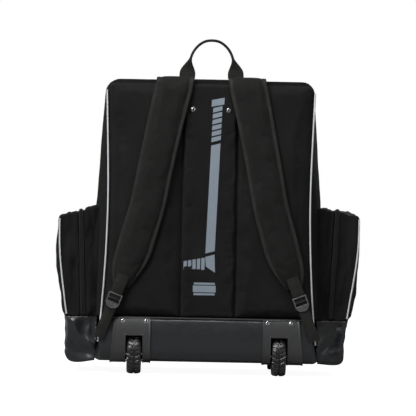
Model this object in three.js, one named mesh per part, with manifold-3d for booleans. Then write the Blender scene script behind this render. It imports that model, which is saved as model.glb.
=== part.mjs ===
// Wheeled hockey equipment backpack. Millimetres, +Z up, standing on its wheels and front feet.
// The harness side, with the shoulder straps and wheels, faces -Y; the main door faces +Y; X is across.
import * as THREE from 'three';
import { mergeVertices } from 'three/addons/utils/BufferGeometryUtils.js';
import Module from 'manifold-3d';

// ---- driving dimensions -------------------------------------------------------------------------
const TOP_Z = 700;            // top panel of the bag
const BASE_Z = 30;            // underside of the coated base
const BAND_Z = 132;           // seam between coated base and woven shell
const BACK_Y = -178;          // back wall of the shell, behind the pads
const PAD_Y = -190;           // outer face of the back pads
const FRONT_Y = 212;          // outer face of the main door
const ZIP_Y = 150;            // seam where the main door's zip runs
const WALL = 4;               // padded fabric wall
const GAP = 0.4;              // clearance between pieces that are sewn or screwed together
const REACH = 400;            // half size of the blocks used for cutting

const WHEEL_X = 172;
const WHEEL_Y = -164;
const WHEEL_R = 48;
const WHEEL_WIDTH = 34;
const AXLE_R = 4;

const TUBE_X = 42;            // half spacing of the pull handle's tubes
const TUBE_Y = -150;
const TUBE_BOTTOM = 58;
const CUP_FLOOR = 677;        // underside of the recessed handle bezel

const POCKET_NEAR_Y = -125;
const POCKET_FAR_Y = 135;
const POCKET_TOP = 398;       // height of the pocket's top beside the bag

const COLOURS = {
  shell: 0x1c1c1d, pad: 0x202021, base: 0x33353a, plate: 0x4c4d4f, rubber: 0x1a1a1b, hub: 0x2c2d2f,
  steel: 0xc9cbce, piping: 0xb8bcc0, web: 0x20201d, buckle: 0x39393a, tube: 0x9fa3a8, grip: 0x232426, zip: 0x17171a,
};
const METALS = ['steel', 'tube'];

// ---- solids -------------------------------------------------------------------------------------
const wasm = await Module();
wasm.setup();

function solid(geometry) {
  const bare = geometry.clone();
  bare.deleteAttribute('normal');
  bare.deleteAttribute('uv');
  const merged = mergeVertices(bare, 1e-3);
  const make = (triVerts) => new wasm.Manifold(new wasm.Mesh({
    numProp: 3, vertProperties: Float32Array.from(merged.attributes.position.array), triVerts,
  }));
  const faces = Uint32Array.from(merged.index.array);
  const piece = make(faces);
  return piece.volume() > 0 ? piece : make(faces.reverse());
}

function box(x0, x1, y0, y1, z0, z1) {
  const block = new THREE.BoxGeometry(x1 - x0, y1 - y0, z1 - z0);
  return solid(block.translate((x0 + x1) / 2, (y0 + y1) / 2, (z0 + z1) / 2));
}

function warp(geometry, place) {
  const at = geometry.attributes.position;
  for (let i = 0; i < at.count; i += 1) at.setXYZ(i, ...place(at.getX(i), at.getY(i), at.getZ(i)));
  return geometry;
}

function extrude(shape, depth, steps = 1, curveSegments = 3) {
  return new THREE.ExtrudeGeometry(shape, { depth, steps, curveSegments, bevelEnabled: false });
}

// an outline drawn in (y, z), run along X
function alongX(shape, x0, x1) {
  return solid(warp(extrude(shape, x1 - x0), (y, z, x) => [x + x0, y, z]));
}

// an outline drawn in (x, z), run along Y
function alongY(shape, y0, y1) {
  return solid(warp(extrude(shape, y1 - y0), (x, z, y) => [x, y + y0, z]));
}

function alongZ(shape, z0, z1) {
  return solid(extrude(shape, z1 - z0).translate(0, 0, z0));
}

// a profile of [radius, height] points spun about +Z
function turned(profile, segments = 16) {
  const points = profile.map(([r, h]) => new THREE.Vector2(r, h));
  return solid(new THREE.LatheGeometry(points, segments).rotateX(Math.PI / 2));
}

function tube(inner, outer, z0, z1) {
  return turned([[inner, z0], [outer, z0], [outer, z1], [inner, z1], [inner, z0]]);
}

function polygon(points) {
  return new THREE.Shape(points.map(([a, b]) => new THREE.Vector2(a, b)));
}

function roundedRect(halfA, halfB, radius, a = 0, b = 0) {
  const s = new THREE.Shape();
  s.absarc(a + halfA - radius, b - halfB + radius, radius, -Math.PI / 2, 0);
  s.absarc(a + halfA - radius, b + halfB - radius, radius, 0, Math.PI / 2);
  s.absarc(a - halfA + radius, b + halfB - radius, radius, Math.PI / 2, Math.PI);
  s.absarc(a - halfA + radius, b - halfB + radius, radius, Math.PI, Math.PI * 1.5);
  return s;
}

// an eight-sided band section
const BAND = polygon([[-1, -0.5], [-0.8, -1], [0.8, -1], [1, -0.5], [1, 0.5], [0.8, 1], [-0.8, 1], [-1, 0.5]]);

// the band section swept along a path; frameAt gives its centre, the two directions of its half widths and their lengths
function ribbon(steps, frameAt) {
  return solid(warp(extrude(BAND, 1, steps, 1), (a, b, t) => {
    const { centre, across, through, halfAcross, halfThrough } = frameAt(t);
    return centre.clone().addScaledVector(across, a * halfAcross).addScaledVector(through, b * halfThrough).toArray();
  }));
}

function cord(path, radius, steps) {
  const section = new THREE.Shape();
  section.absarc(0, 0, radius, 0, Math.PI * 2);
  return solid(new THREE.ExtrudeGeometry(section, { extrudePath: path, steps, curveSegments: 3, bevelEnabled: false }));
}

const smooth = (t) => { const c = Math.min(1, Math.max(0, t)); return c * c * (3 - 2 * c); };
const mix = (a, b, t) => a + (b - a) * t;

// ---- the bag's outer form -----------------------------------------------------------------------
const WAIST_Z = 430;          // height where the harness panel is narrowest
const BELLY_Z = 400;          // below this the bag's middle is at its full width
const FRONT_ROUND = 30;       // radius along the door's edges

// half width of the harness panel at its piping
function panelHalf(z) {
  return z < WAIST_Z ? 237 + 17 * ((WAIST_Z - z) / 345) ** 2 : 237 + 8 * ((z - WAIST_Z) / 270) ** 1.3;
}

// half width halfway through the bag's depth, where the sides swell
function bellyHalf(z) {
  return z < BELLY_Z ? 267 : 267 - 21 * ((z - BELLY_Z) / 300) ** 0.9;
}

function halfWidth(y, z) {
  const t = Math.min(1, Math.max(0, (y - BACK_Y) / (FRONT_Y - BACK_Y)));
  return mix(panelHalf(z), bellyHalf(z), 1 - Math.abs(2 * t - 1) ** 2.5);
}

const FORM_HALF = 240;
const FORM_START = -240;
const SIDE_LEVELS = [130, 230, 330, 430, 520, 600];

function bodyOutline() {
  const top = 28;
  const bottom = 26;
  const s = new THREE.Shape();
  s.absarc(FORM_HALF - bottom, BASE_Z + bottom, bottom, -Math.PI / 2, 0);
  SIDE_LEVELS.forEach((z) => s.lineTo(FORM_HALF, z));
  s.absarc(FORM_HALF - top, TOP_Z - top, top, 0, Math.PI / 2);
  s.absarc(top - FORM_HALF, TOP_Z - top, top, Math.PI / 2, Math.PI);
  SIDE_LEVELS.toReversed().forEach((z) => s.lineTo(-FORM_HALF, z));
  s.absarc(bottom - FORM_HALF, BASE_Z + bottom, bottom, Math.PI, Math.PI * 1.5);
  return s;
}

// the whole bag as one closed form, shrunk by inset; it starts behind the back wall so that cuts choose the end
const FORM_DEPTHS = 7;
const FORM_ROUND_STEPS = 3;
function bodyForm(inset = 0) {
  const steps = 1 + FORM_DEPTHS + FORM_ROUND_STEPS;
  const middleZ = (TOP_Z + BASE_Z) / 2;
  const halfHeight = (TOP_Z - BASE_Z) / 2;
  return solid(warp(extrude(bodyOutline(), 1, steps), (x, z, t) => {
    const step = Math.round(t * steps);
    const turn = Math.max(0, step - 1 - FORM_DEPTHS) / FORM_ROUND_STEPS * Math.PI / 2;
    const straight = mix(BACK_Y, FRONT_Y - FRONT_ROUND, Math.min(1, (step - 1) / FORM_DEPTHS));
    const y = step === 0 ? FORM_START : straight + (FRONT_ROUND - inset) * Math.sin(turn);
    const shrink = inset + (FRONT_ROUND - inset) * (1 - Math.cos(turn));
    const height = middleZ + (z - middleZ) * (halfHeight - shrink) / halfHeight;
    return [x / FORM_HALF * (halfWidth(y, height) - shrink), y, height];
  }));
}

const bagOuter = bodyForm();
const bagInner = bodyForm(WALL);
const bagGrown = bodyForm(-1);

// side view of the coated base, grown by offset: convex behind, rounded into the flat underside
function baseProfile(offset) {
  const s = new THREE.Shape();
  s.moveTo(-192, 160);
  s.lineTo(-192, 134);
  s.bezierCurveTo(-198, 115, -203, 80, -197, 54);
  s.bezierCurveTo(-192, 36, -178, BASE_Z, -155, BASE_Z);
  s.lineTo(FRONT_Y - 36, BASE_Z);
  s.bezierCurveTo(FRONT_Y - 14, BASE_Z, FRONT_Y, 44, FRONT_Y, 66);
  s.lineTo(FRONT_Y, 160);
  const points = s.getPoints(5);
  return points.map((p, i) => {
    const before = points[(i + points.length - 1) % points.length];
    const after = points[(i + 1) % points.length];
    const along = after.clone().sub(before).normalize();
    return new THREE.Vector2(p.x + along.y * offset, p.y - along.x * offset);
  });
}

// how far back the base reaches at a height, with the same offset
function baseBackY(z, offset) {
  const points = baseProfile(offset).filter((p) => p.x < -150);
  const i = points.findIndex((p, k) => k > 0 && p.y <= z);
  const [high, low] = [points[i - 1], points[i]];
  return mix(low.x, high.x, (z - low.y) / (high.y - low.y));
}

const baseSolid = (offset) => alongX(new THREE.Shape(baseProfile(offset)), -REACH, REACH);

// ---- assembly -----------------------------------------------------------------------------------
const bag = new THREE.Group();

function add(name, finish, piece) {
  const mesh = piece.getMesh();
  const geometry = new THREE.BufferGeometry();
  geometry.setAttribute('position', new THREE.BufferAttribute(Float32Array.from(mesh.vertProperties), 3));
  geometry.setIndex(new THREE.BufferAttribute(Uint32Array.from(mesh.triVerts), 1));
  const metal = METALS.includes(finish);
  const material = new THREE.MeshStandardMaterial({
    color: COLOURS[finish], roughness: metal ? 0.3 : 0.75, metalness: metal ? 1 : 0, flatShading: true,
  });
  const node = new THREE.Mesh(geometry, material);
  node.name = name;
  bag.add(node);
}

const SIDES = [['left', -1], ['right', 1]];
const mirrored = (piece, side) => (side < 0 ? piece.mirror([1, 0, 0]) : piece);

// ---- fabric shell, pads, sleeve and base --------------------------------------------------------
const BEZEL_HALF_X = 74;
const BEZEL_HALF_Y = 21;
const bezelHole = alongZ(roundedRect(BEZEL_HALF_X + GAP, BEZEL_HALF_Y + GAP, 12, 0, TUBE_Y), CUP_FLOOR - 5, TOP_Z + 20);

function mainShell() {
  const outer = bagOuter.intersect(box(-REACH, REACH, BACK_Y, ZIP_Y - GAP, BAND_Z + GAP, REACH * 2));
  const inner = bagInner.intersect(box(-REACH, REACH, BACK_Y + WALL, REACH, 0, REACH * 2));
  return outer.subtract(inner).subtract(bezelHole);
}
add('main_shell', 'shell', mainShell());

const SLEEVE_HALF = 63;
const PAD_BOTTOM = 135.5;
const PAD_TOP = 691;
for (const [name, side] of SIDES) {
  const slab = box(SLEEVE_HALF + 1, REACH, PAD_Y, BACK_Y - GAP, PAD_BOTTOM, PAD_TOP);
  add(`back_pad_${name}`, 'pad', mirrored(bagOuter.intersect(slab), side));
}
add('centre_sleeve', 'pad', box(-SLEEVE_HALF, SLEEVE_HALF, PAD_Y, BACK_Y - GAP, PAD_BOTTOM, PAD_TOP));

const WELL_WALL = 3;
const WELL_HALF = 20;         // half width of the gap that the wheel turns in
const WELL_FRONT = -111;
const WELL_TOP = 101;
const SLOT_TOP = 92;
const PLATE = 4.5;

function wellBlock(grow, top = WELL_TOP) {
  const half = WELL_HALF + grow;
  return box(WHEEL_X - half, WHEEL_X + half, -REACH, WELL_FRONT + grow, 0, top + grow);
}

function baseTray() {
  const outer = bagOuter.intersect(baseSolid(0));
  const inner = bagInner.intersect(baseSolid(-WALL));
  const hole = wellBlock(WELL_WALL + GAP);
  return outer.subtract(inner).intersect(box(-REACH, REACH, -REACH, REACH, 0, BAND_Z - GAP))
    .subtract(hole).subtract(mirrored(hole, -1));
}
add('base_tray', 'base', baseTray());

// ---- wheels -------------------------------------------------------------------------------------
const PLATE_TOP = 134;
const FOOT_HALF_X = 15;        // the feet stand in line with the wheels and are a little narrower
const FOOT_HALF_Y = 26;
const FOOT_Y = 150;
const SCREW_Z = 126;
const SCREW_XS = [['inner', 143.7], ['outer', 199]];

function plateOutline() {
  const s = new THREE.Shape();
  s.moveTo(133, 10);
  s.lineTo(232, 10);
  s.lineTo(219.5, PLATE_TOP - 6);
  s.quadraticCurveTo(219, PLATE_TOP, 213, PLATE_TOP);
  s.lineTo(139, PLATE_TOP);
  s.quadraticCurveTo(133, PLATE_TOP, 133, PLATE_TOP - 6);
  return s;
}

const axleLine = (radius, half) => turned([[0, -half], [radius, -half], [radius, half], [0, half]], 16)
  .rotate([0, 90, 0]).translate([WHEEL_X, WHEEL_Y, WHEEL_R]);

function wheelHousing() {
  const plate = baseSolid(PLATE).subtract(baseSolid(GAP)).intersect(alongY(plateOutline(), -REACH, -95));
  const well = wellBlock(WELL_WALL).intersect(baseSolid(PLATE / 2));
  const behindPlate = box(-REACH, REACH, -196, REACH, 0, REACH);
  return plate.add(well).subtract(wellBlock(0).intersect(behindPlate)).subtract(wellBlock(0, SLOT_TOP))
    .subtract(axleLine(AXLE_R + 0.35, 40));
}

// a screw head as a low dome that faces -Y
function screwHead(x, y, z, radius, height) {
  const dome = turned([[0, 0], [radius, 0], [radius, height * 0.4], [radius * 0.6, height], [0, height]], 16);
  return dome.rotate([90, 0, 0]).translate([x, y, z]);
}

function tyre() {
  const edge = WHEEL_WIDTH / 2;
  const profile = [[30, -edge], [43, -edge], [46.6, -edge + 4], [WHEEL_R, -5], [WHEEL_R, 5], [46.6, edge - 4],
    [43, edge], [30, edge], [30, -edge]];
  return turned(profile, 28).rotate([0, 90, 0]).translate([WHEEL_X, WHEEL_Y, WHEEL_R]);
}

function hub() {
  const rim = 29.6;
  const bore = AXLE_R + 0.35;
  const edge = WHEEL_WIDTH / 2;
  const profile = [[bore, -edge], [12, -edge], [12, -8], [24, -8], [24, 2 - edge], [rim, 2 - edge],
    [rim, edge - 2], [24, edge - 2], [24, 8], [12, 8], [12, edge], [bore, edge], [bore, -edge]];
  return turned(profile, 16).rotate([0, 90, 0]).translate([WHEEL_X, WHEEL_Y, WHEEL_R]);
}

for (const [name, side] of SIDES) {
  add(`wheel_housing_${name}`, 'plate', mirrored(wheelHousing(), side));
  for (const [place, x] of SCREW_XS) {
    const head = screwHead(x, baseBackY(SCREW_Z - 5, PLATE) - GAP, SCREW_Z, 5, 2.6);
    add(`plate_screw_${name}_${place}`, 'steel', mirrored(head, side));
  }
  add(`axle_${name}`, 'steel', mirrored(axleLine(AXLE_R, 27), side));
  add(`tyre_${name}`, 'rubber', mirrored(tyre(), side));
  add(`hub_${name}`, 'hub', mirrored(hub(), side));
  const foot = alongZ(roundedRect(FOOT_HALF_X, FOOT_HALF_Y, 6, WHEEL_X, FOOT_Y), 0, BASE_Z - GAP);
  add(`foot_${name}`, 'grip', mirrored(foot, side));
  add(`frame_screw_${name}`, 'steel', screwHead(side * TUBE_X, PAD_Y - GAP, 630, 6, 3.2));
}

// ---- pull handle --------------------------------------------------------------------------------
function handleBezel() {
  const rim = alongZ(roundedRect(BEZEL_HALF_X + 7, BEZEL_HALF_Y + 1.4, 12, 0, TUBE_Y), TOP_Z + GAP, TOP_Z + 2.6);
  const cup = alongZ(roundedRect(BEZEL_HALF_X, BEZEL_HALF_Y, 12, 0, TUBE_Y), CUP_FLOOR, TOP_Z + 1);
  const hollow = alongZ(roundedRect(BEZEL_HALF_X - 4, BEZEL_HALF_Y - 4, 9, 0, TUBE_Y), CUP_FLOOR + 4, TOP_Z + 10);
  const holes = [-TUBE_X, TUBE_X].map((x) => turned([[0, 600], [9.8, 600], [9.8, 720], [0, 720]]).translate([x, TUBE_Y, 0]));
  return holes.reduce((whole, hole) => whole.subtract(hole), rim.add(cup).subtract(hollow));
}
add('handle_bezel', 'grip', handleBezel());
add('tube_foot', 'grip', alongZ(roundedRect(62, 14, 6, 0, TUBE_Y), BASE_Z + WALL + 3, TUBE_BOTTOM - GAP));
add('back_board', 'grip', box(-120, 120, -134, -131, 60, 670));

const GRIP_Z = 685;
for (const [name, side] of SIDES) {
  const spot = [side * TUBE_X, TUBE_Y, 0];
  add(`outer_tube_${name}`, 'tube', tube(9.6, 11, TUBE_BOTTOM, CUP_FLOOR - GAP).translate(spot));
  add(`middle_tube_${name}`, 'tube', tube(8, 9.3, TUBE_BOTTOM + 4, CUP_FLOOR + 5).translate(spot));
  add(`inner_tube_${name}`, 'tube', tube(6, 7.7, TUBE_BOTTOM + 8, GRIP_Z - GAP).translate(spot));
}

const GRIP_TOP = 699;
const BUTTON_POCKET = 8;
function grip() {
  const bar = alongZ(roundedRect(62, 12, 10, 0, TUBE_Y), GRIP_Z, GRIP_TOP);
  return bar.subtract(alongZ(roundedRect(15, 7, 5, 0, TUBE_Y), GRIP_TOP - BUTTON_POCKET, GRIP_TOP + 5));
}
add('grip', 'grip', grip());
add('release_button', 'buckle', alongZ(roundedRect(14.4, 6.4, 4.6, 0, TUBE_Y), GRIP_TOP - 4.5, GRIP_TOP + 2));

// ---- main door and its zip ----------------------------------------------------------------------
const DOOR_BOTTOM = 134;
const PANEL_Y = 203;          // seam between the door's front panel and the gusset that runs round it
const doorCloth = bagOuter.subtract(bagInner);
const doorSlice = (y0, y1) => doorCloth.intersect(box(-REACH, REACH, y0, y1, DOOR_BOTTOM, REACH * 2));
add('main_door', 'shell', doorSlice(PANEL_Y + GAP / 2, REACH));
add('door_gusset', 'shell', doorSlice(ZIP_Y + GAP, PANEL_Y - GAP / 2));

const ZIP_HALF = 6;
const ZIP_LOW = 0.5;
const ZIP_HIGH = 1.7;
const zipBand = box(-REACH, REACH, ZIP_Y - ZIP_HALF, ZIP_Y + ZIP_HALF, DOOR_BOTTOM + 2, REACH * 2);
add('door_zip', 'zip', bodyForm(-ZIP_HIGH).subtract(bodyForm(-ZIP_LOW)).intersect(zipBand));

// slider body with its pull tab, lying on the zip at (x, y, z); the tab points along -Y
function zipSlider(x, y, z) {
  const body = alongZ(roundedRect(6, 4.5, 2), 0, 4);
  const tab = alongZ(roundedRect(3.5, 13, 3, 0, -12), 2.2, 3.8);
  return body.add(tab).translate([x, y, z]);
}
const SLIDER_LIFT = ZIP_HIGH + 0.4;
add('door_slider_left', 'steel', zipSlider(-97, ZIP_Y, TOP_Z + SLIDER_LIFT));
add('door_slider_right', 'steel', zipSlider(-62, ZIP_Y, TOP_Z + SLIDER_LIFT));

// ---- side pockets -------------------------------------------------------------------------------
const POCKET_BASE = 29;
const POCKET_SLOPE = 0.2;     // the pocket's top falls away from the bag
const POCKET_LEVELS = [80, 134, 190, 240, 290, 340];
const POCKET_ROOT = 236;      // inside the bag's side, where the bag's own form cuts the pocket off

// outer edge of the pocket's near face, and how far its outer wall swells past that
const pocketEdge = (z) => 331 + 24 * smooth((z - 60) / 280);
const pocketSwell = (z) => 10 * Math.sin(Math.PI * Math.min(1, Math.max(0, (z - POCKET_BASE) / 356)));
const pocketTop = (x) => POCKET_TOP - (x - 267) * POCKET_SLOPE;
const zipX = (z) => 291 + 11 * (z - 134) / 256;

function pocketOutline(inset) {
  const low = POCKET_BASE + inset;
  const s = new THREE.Shape();
  const foot = pocketEdge(POCKET_BASE) - inset;
  const cap = pocketEdge(400) - inset;
  s.moveTo(POCKET_ROOT, low);
  s.lineTo(foot - 24, low);
  s.quadraticCurveTo(foot - 1, low, foot, low + 24);
  POCKET_LEVELS.forEach((z) => s.lineTo(pocketEdge(z) - inset, z));
  s.quadraticCurveTo(cap, pocketTop(cap) - inset, cap - 14, pocketTop(cap - 14) - inset);
  s.lineTo(POCKET_ROOT, pocketTop(POCKET_ROOT) - inset);
  return s;
}

function pocketForm(inset = 0) {
  const near = POCKET_NEAR_Y + inset;
  const far = POCKET_FAR_Y - inset;
  return solid(warp(extrude(pocketOutline(inset), 1, 5, 2), (x, z, t) => {
    const share = Math.max(0, (x - 300) / (pocketEdge(z) - 300));
    const swell = pocketSwell(z) * (1 - Math.abs(2 * t - 1) ** 2.5) * share;
    return [x + swell, mix(near, far, t), z];
  }));
}

const pocketWall = pocketForm().subtract(pocketForm(WALL)).subtract(bagGrown);
const ZIP_END = 420;
const beyondZip = (shift) => alongY(polygon([
  [zipX(0) + shift, 0], [REACH, 0], [REACH, ZIP_END], [zipX(ZIP_END) + shift, ZIP_END],
]), -REACH, REACH);
const overBand = (gap) => box(-REACH, REACH, -REACH, REACH, BAND_Z + gap, REACH * 2);

function pocketZip() {
  const band = beyondZip(-ZIP_HALF).subtract(beyondZip(ZIP_HALF)).intersect(overBand(4));
  return pocketForm(-ZIP_HIGH).subtract(pocketForm(-ZIP_LOW)).intersect(band);
}

function pocketPiping() {
  const heights = [138, 180, 220, 260, 300, 340, 366];
  const path = new THREE.CatmullRomCurve3(
    heights.map((z) => new THREE.Vector3(pocketEdge(z) - 1.5, POCKET_NEAR_Y - 2.9, z)));
  return cord(path, 2.2, 9);
}

const POCKET_SLIDER_Y = -98;
for (const [name, side] of SIDES) {
  const cover = pocketWall.intersect(beyondZip(GAP)).intersect(overBand(2));
  const gusset = pocketWall.subtract(beyondZip(-GAP)).intersect(overBand(GAP));
  add(`pocket_gusset_${name}`, 'shell', mirrored(gusset, side));
  add(`pocket_base_${name}`, 'base', mirrored(pocketWall.subtract(overBand(-GAP)), side));
  add(`pocket_cover_${name}`, 'shell', mirrored(cover, side));
  add(`pocket_zip_${name}`, 'zip', mirrored(pocketZip(), side));
  add(`pocket_piping_${name}`, 'piping', mirrored(pocketPiping(), side));
  const top = zipX(390);
  const slider = zipSlider(top, POCKET_SLIDER_Y, pocketTop(top) + SLIDER_LIFT + 1.2);
  add(`pocket_slider_${name}`, 'steel', mirrored(slider, side));
}

// ---- harness ------------------------------------------------------------------------------------
// piping along the harness panel's edge, down over the base's back corner
function harnessPiping() {
  const besideBase = [50, 70, 95, 120].map((z) => [z, baseBackY(z, 0) + 6]);
  const besidePad = [150, 200, 270, 340, 410, 480, 550, 610, 655].map((z) => [z, PAD_Y + 6]);
  const path = new THREE.CatmullRomCurve3(
    [...besideBase, ...besidePad].map(([z, y]) => new THREE.Vector3(panelHalf(z) + 3, y, z)));
  return cord(path, 2.2, 18);
}

const STRAP_PATH = new THREE.CatmullRomCurve3([
  [85, -184, 704], [86, -194, 698], [88, -199, 684], [96, -199.5, 650], [111, -201, 580], [128, -202.5, 495],
  [145, -203, 405], [160, -202.5, 350], [174, -201.5, 300], [187, -200.5, 250], [196, -199.5, 208],
].map((p) => new THREE.Vector3(...p)));
const STRAP_HALF = 41.5;
const STRAP_THICK = 7;        // half thickness

// steps crowd towards the strap's two ends, where it bends over the top edge and rounds off
function strapFrame(step) {
  const t = (1 - Math.cos(Math.PI * step)) / 2;
  const centre = STRAP_PATH.getPointAt(t);
  const along = STRAP_PATH.getTangentAt(t);
  const across = new THREE.Vector3(0, -1, 0).cross(along);
  if (across.length() < 0.2 || t < 0.03) across.set(1, 0, 0);
  across.normalize();
  const through = along.clone().cross(across).normalize();
  const tip = Math.sqrt(1 - Math.min(1, Math.max(0, (t - 0.93) / 0.07)) ** 2);
  return {
    centre, across, through,
    halfAcross: STRAP_HALF * mix(0.45, 1, tip),
    halfThrough: mix(2, STRAP_THICK, smooth(t / 0.09)) * mix(0.6, 1, tip),
  };
}

const LOCK_TILT = -21;        // degrees about Y, in line with the strap's lower end
const LOCK_AT = [221, -207, 178];

// a ladder lock: a rounded frame with two slots, lying in the harness plane
function ladderLock() {
  const outer = alongY(roundedRect(17, 14, 4), -3, 3);
  const slots = [-6, 6].map((z) => alongY(roundedRect(13.5, 3.2, 1, 0, z), -10, 10));
  const frame = slots.reduce((whole, slot) => whole.subtract(slot), outer);
  return frame.rotate([0, LOCK_TILT, 0]).translate(LOCK_AT);
}

// flat webbing between two points of the harness plane
function flatWeb(from, to, half, thickness) {
  const a = new THREE.Vector3(...from);
  const b = new THREE.Vector3(...to);
  const along = b.clone().sub(a).normalize();
  const across = new THREE.Vector3(0, -1, 0).cross(along).normalize();
  const through = along.clone().cross(across);
  return ribbon(1, (t) => ({
    centre: a.clone().lerp(b, t), across, through, halfAcross: half, halfThrough: thickness / 2,
  }));
}

for (const [name, side] of SIDES) {
  add(`harness_piping_${name}`, 'piping', mirrored(harnessPiping(), side));
  add(`shoulder_strap_${name}`, 'pad', mirrored(ribbon(18, strapFrame), side));
  add(`strap_tab_${name}`, 'web', mirrored(flatWeb([199, -208.5, 236], [215, -208, 194.5], 12.5, 2), side));
  add(`ladder_lock_${name}`, 'buckle', mirrored(ladderLock(), side));
  add(`adjusting_web_${name}`, 'web', mirrored(flatWeb([227, -205, 161], [257, -204.5, 87], 12.5, 2), side));
}

// ---- carry loop ---------------------------------------------------------------------------------
const LOOP_Y = -176;
const LOOP_PATH = new THREE.CatmullRomCurve3([
  [-58, 703.5], [-56.5, 722], [-52, 745], [-44, 767], [-30, 784], [-12, 793.5], [12, 793.5], [30, 784], [44, 767],
  [52, 745], [56.5, 722], [58, 703.5],
].map(([x, z]) => new THREE.Vector3(x, LOOP_Y, z)));

function loopFrame(t) {
  const centre = LOOP_PATH.getPointAt(t);
  const through = new THREE.Vector3(0, 1, 0);
  const across = through.clone().cross(LOOP_PATH.getTangentAt(t)).normalize();
  const folded = smooth((Math.min(t, 1 - t) - 0.02) / 0.2);
  return { centre, across, through, halfAcross: mix(18, 3.5, folded), halfThrough: mix(1.5, 9, folded) };
}
add('carry_loop', 'web', ribbon(20, loopFrame));

export default bag;
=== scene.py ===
# %% [markdown]
# # A wheeled hockey equipment backpack
# The real bag is a tall fabric box that stands on two wheels and two feet. One side carries a pair of padded
# shoulder straps over a cushioned back, the other side is a full-height zipped door, and a zipped pocket
# hangs on each flank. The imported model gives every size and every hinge, so the frame is loaded first and
# never moved. Each fabric piece is then sewn over it as its own mesh, and the hard pieces are modelled again
# with rounded edges.

# %% Load the frame
import math

import bmesh
import bpy
from mathutils import Matrix, Vector, noise


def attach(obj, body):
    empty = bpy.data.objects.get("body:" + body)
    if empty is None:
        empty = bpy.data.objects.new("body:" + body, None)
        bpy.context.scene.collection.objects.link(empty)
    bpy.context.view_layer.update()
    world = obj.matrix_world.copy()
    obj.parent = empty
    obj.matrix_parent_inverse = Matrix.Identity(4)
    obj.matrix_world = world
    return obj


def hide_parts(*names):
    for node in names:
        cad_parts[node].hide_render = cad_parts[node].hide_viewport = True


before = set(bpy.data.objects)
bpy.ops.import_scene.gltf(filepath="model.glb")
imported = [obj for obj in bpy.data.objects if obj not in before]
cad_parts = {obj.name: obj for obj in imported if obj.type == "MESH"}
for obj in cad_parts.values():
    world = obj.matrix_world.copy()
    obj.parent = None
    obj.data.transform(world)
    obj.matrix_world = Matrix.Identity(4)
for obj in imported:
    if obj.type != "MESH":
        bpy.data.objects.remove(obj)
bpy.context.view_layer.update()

# %% [markdown]
# ## Camera and studio
# The bag is shown from its harness side at half height, as on a catalogue page. A long lens from seven
# metres keeps the sides parallel. The camera stands a hand's width to the left of the middle and leans by a
# degree, because the bag stands slightly turned and off level.

# %% Camera
MM = 0.001
CAMERA_AT = Vector((-0.100, -7.2, 0.397))
CENTRE_X = -0.0026             # the view is centred here; the camera stands a little to the left of it
CAMERA_LEAN = math.radians(-1.1)
HARNESS_Y = -0.19
VIEW_WIDTH = 0.986            # width that the camera sees at the harness


def set_camera():
    data = bpy.data.cameras.new("studio_camera")
    data.sensor_width = 36
    data.lens = data.sensor_width * (HARNESS_Y - CAMERA_AT.y) / VIEW_WIDTH
    data.shift_x = (CENTRE_X - CAMERA_AT.x) / VIEW_WIDTH * math.cos(CAMERA_LEAN)
    data.shift_y = (CENTRE_X - CAMERA_AT.x) / VIEW_WIDTH * math.sin(CAMERA_LEAN)
    data.clip_end = 100
    camera = bpy.data.objects.new("studio_camera", data)
    turn = Matrix.Rotation(CAMERA_LEAN, 4, "Y") @ Matrix.Rotation(math.radians(90), 4, "X")
    camera.matrix_world = Matrix.Translation(CAMERA_AT) @ turn
    bpy.context.scene.collection.objects.link(camera)
    bpy.context.scene.camera = camera
    return data.lens


print("lens:", round(set_camera(), 1), "mm")

# %% [markdown]
# The background of the set is white, but white light from every side would wash out black cloth. The world
# is therefore white where the camera sees it and a dim grey as a light, and four large soft lamps do the
# rest.

# %% World and lamps
ROOM_LIGHT = 0.13


def set_world():
    world = bpy.data.worlds.new("white_studio")
    bpy.context.scene.world = world
    world.use_nodes = True
    tree = world.node_tree
    tree.nodes.clear()
    seen, room = (tree.nodes.new("ShaderNodeBackground") for _ in range(2))
    seen.inputs["Color"].default_value = (1, 1, 1, 1)
    seen.inputs["Strength"].default_value = 1.0
    room.inputs["Color"].default_value = (0.96, 0.98, 1, 1)
    room.inputs["Strength"].default_value = ROOM_LIGHT
    ray = tree.nodes.new("ShaderNodeLightPath")
    choose = tree.nodes.new("ShaderNodeMixShader")
    out = tree.nodes.new("ShaderNodeOutputWorld")
    tree.links.new(ray.outputs["Is Camera Ray"], choose.inputs[0])
    tree.links.new(room.outputs[0], choose.inputs[1])
    tree.links.new(seen.outputs[0], choose.inputs[2])
    tree.links.new(choose.outputs[0], out.inputs["Surface"])


def soft_lamp(name, at, size, power):
    data = bpy.data.lights.new(name, "AREA")
    data.size = size
    data.energy = power
    lamp = bpy.data.objects.new(name, data)
    lamp.location = at
    aim = Vector((0, 0, 0.35)) - Vector(at)
    lamp.rotation_euler = aim.to_track_quat("-Z", "Y").to_euler()
    bpy.context.scene.collection.objects.link(lamp)


set_world()
soft_lamp("key_lamp", (-1.7, -2.1, 2.4), 1.1, 84)
soft_lamp("fill_lamp", (2.3, -2.6, 1.4), 1.6, 10)
soft_lamp("top_lamp", (-0.1, -1.1, 2.8), 1.0, 40)
soft_lamp("door_lamp", (0.8, 2.9, 1.9), 1.8, 46)
bpy.context.scene.view_settings.view_transform = "Standard"
bpy.context.scene.view_settings.look = "None"

# %% [markdown]
# ## Shader groups
# Most of the bag is woven polyester, so the weave is one group used by every cloth. It reads a map in metres
# that each piece carries, which keeps the threads the same size everywhere. A second group gives plastics,
# rubber and coated cloth their grain, scuffs and dust, and a third one draws the ribs of narrow webbing.

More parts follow.
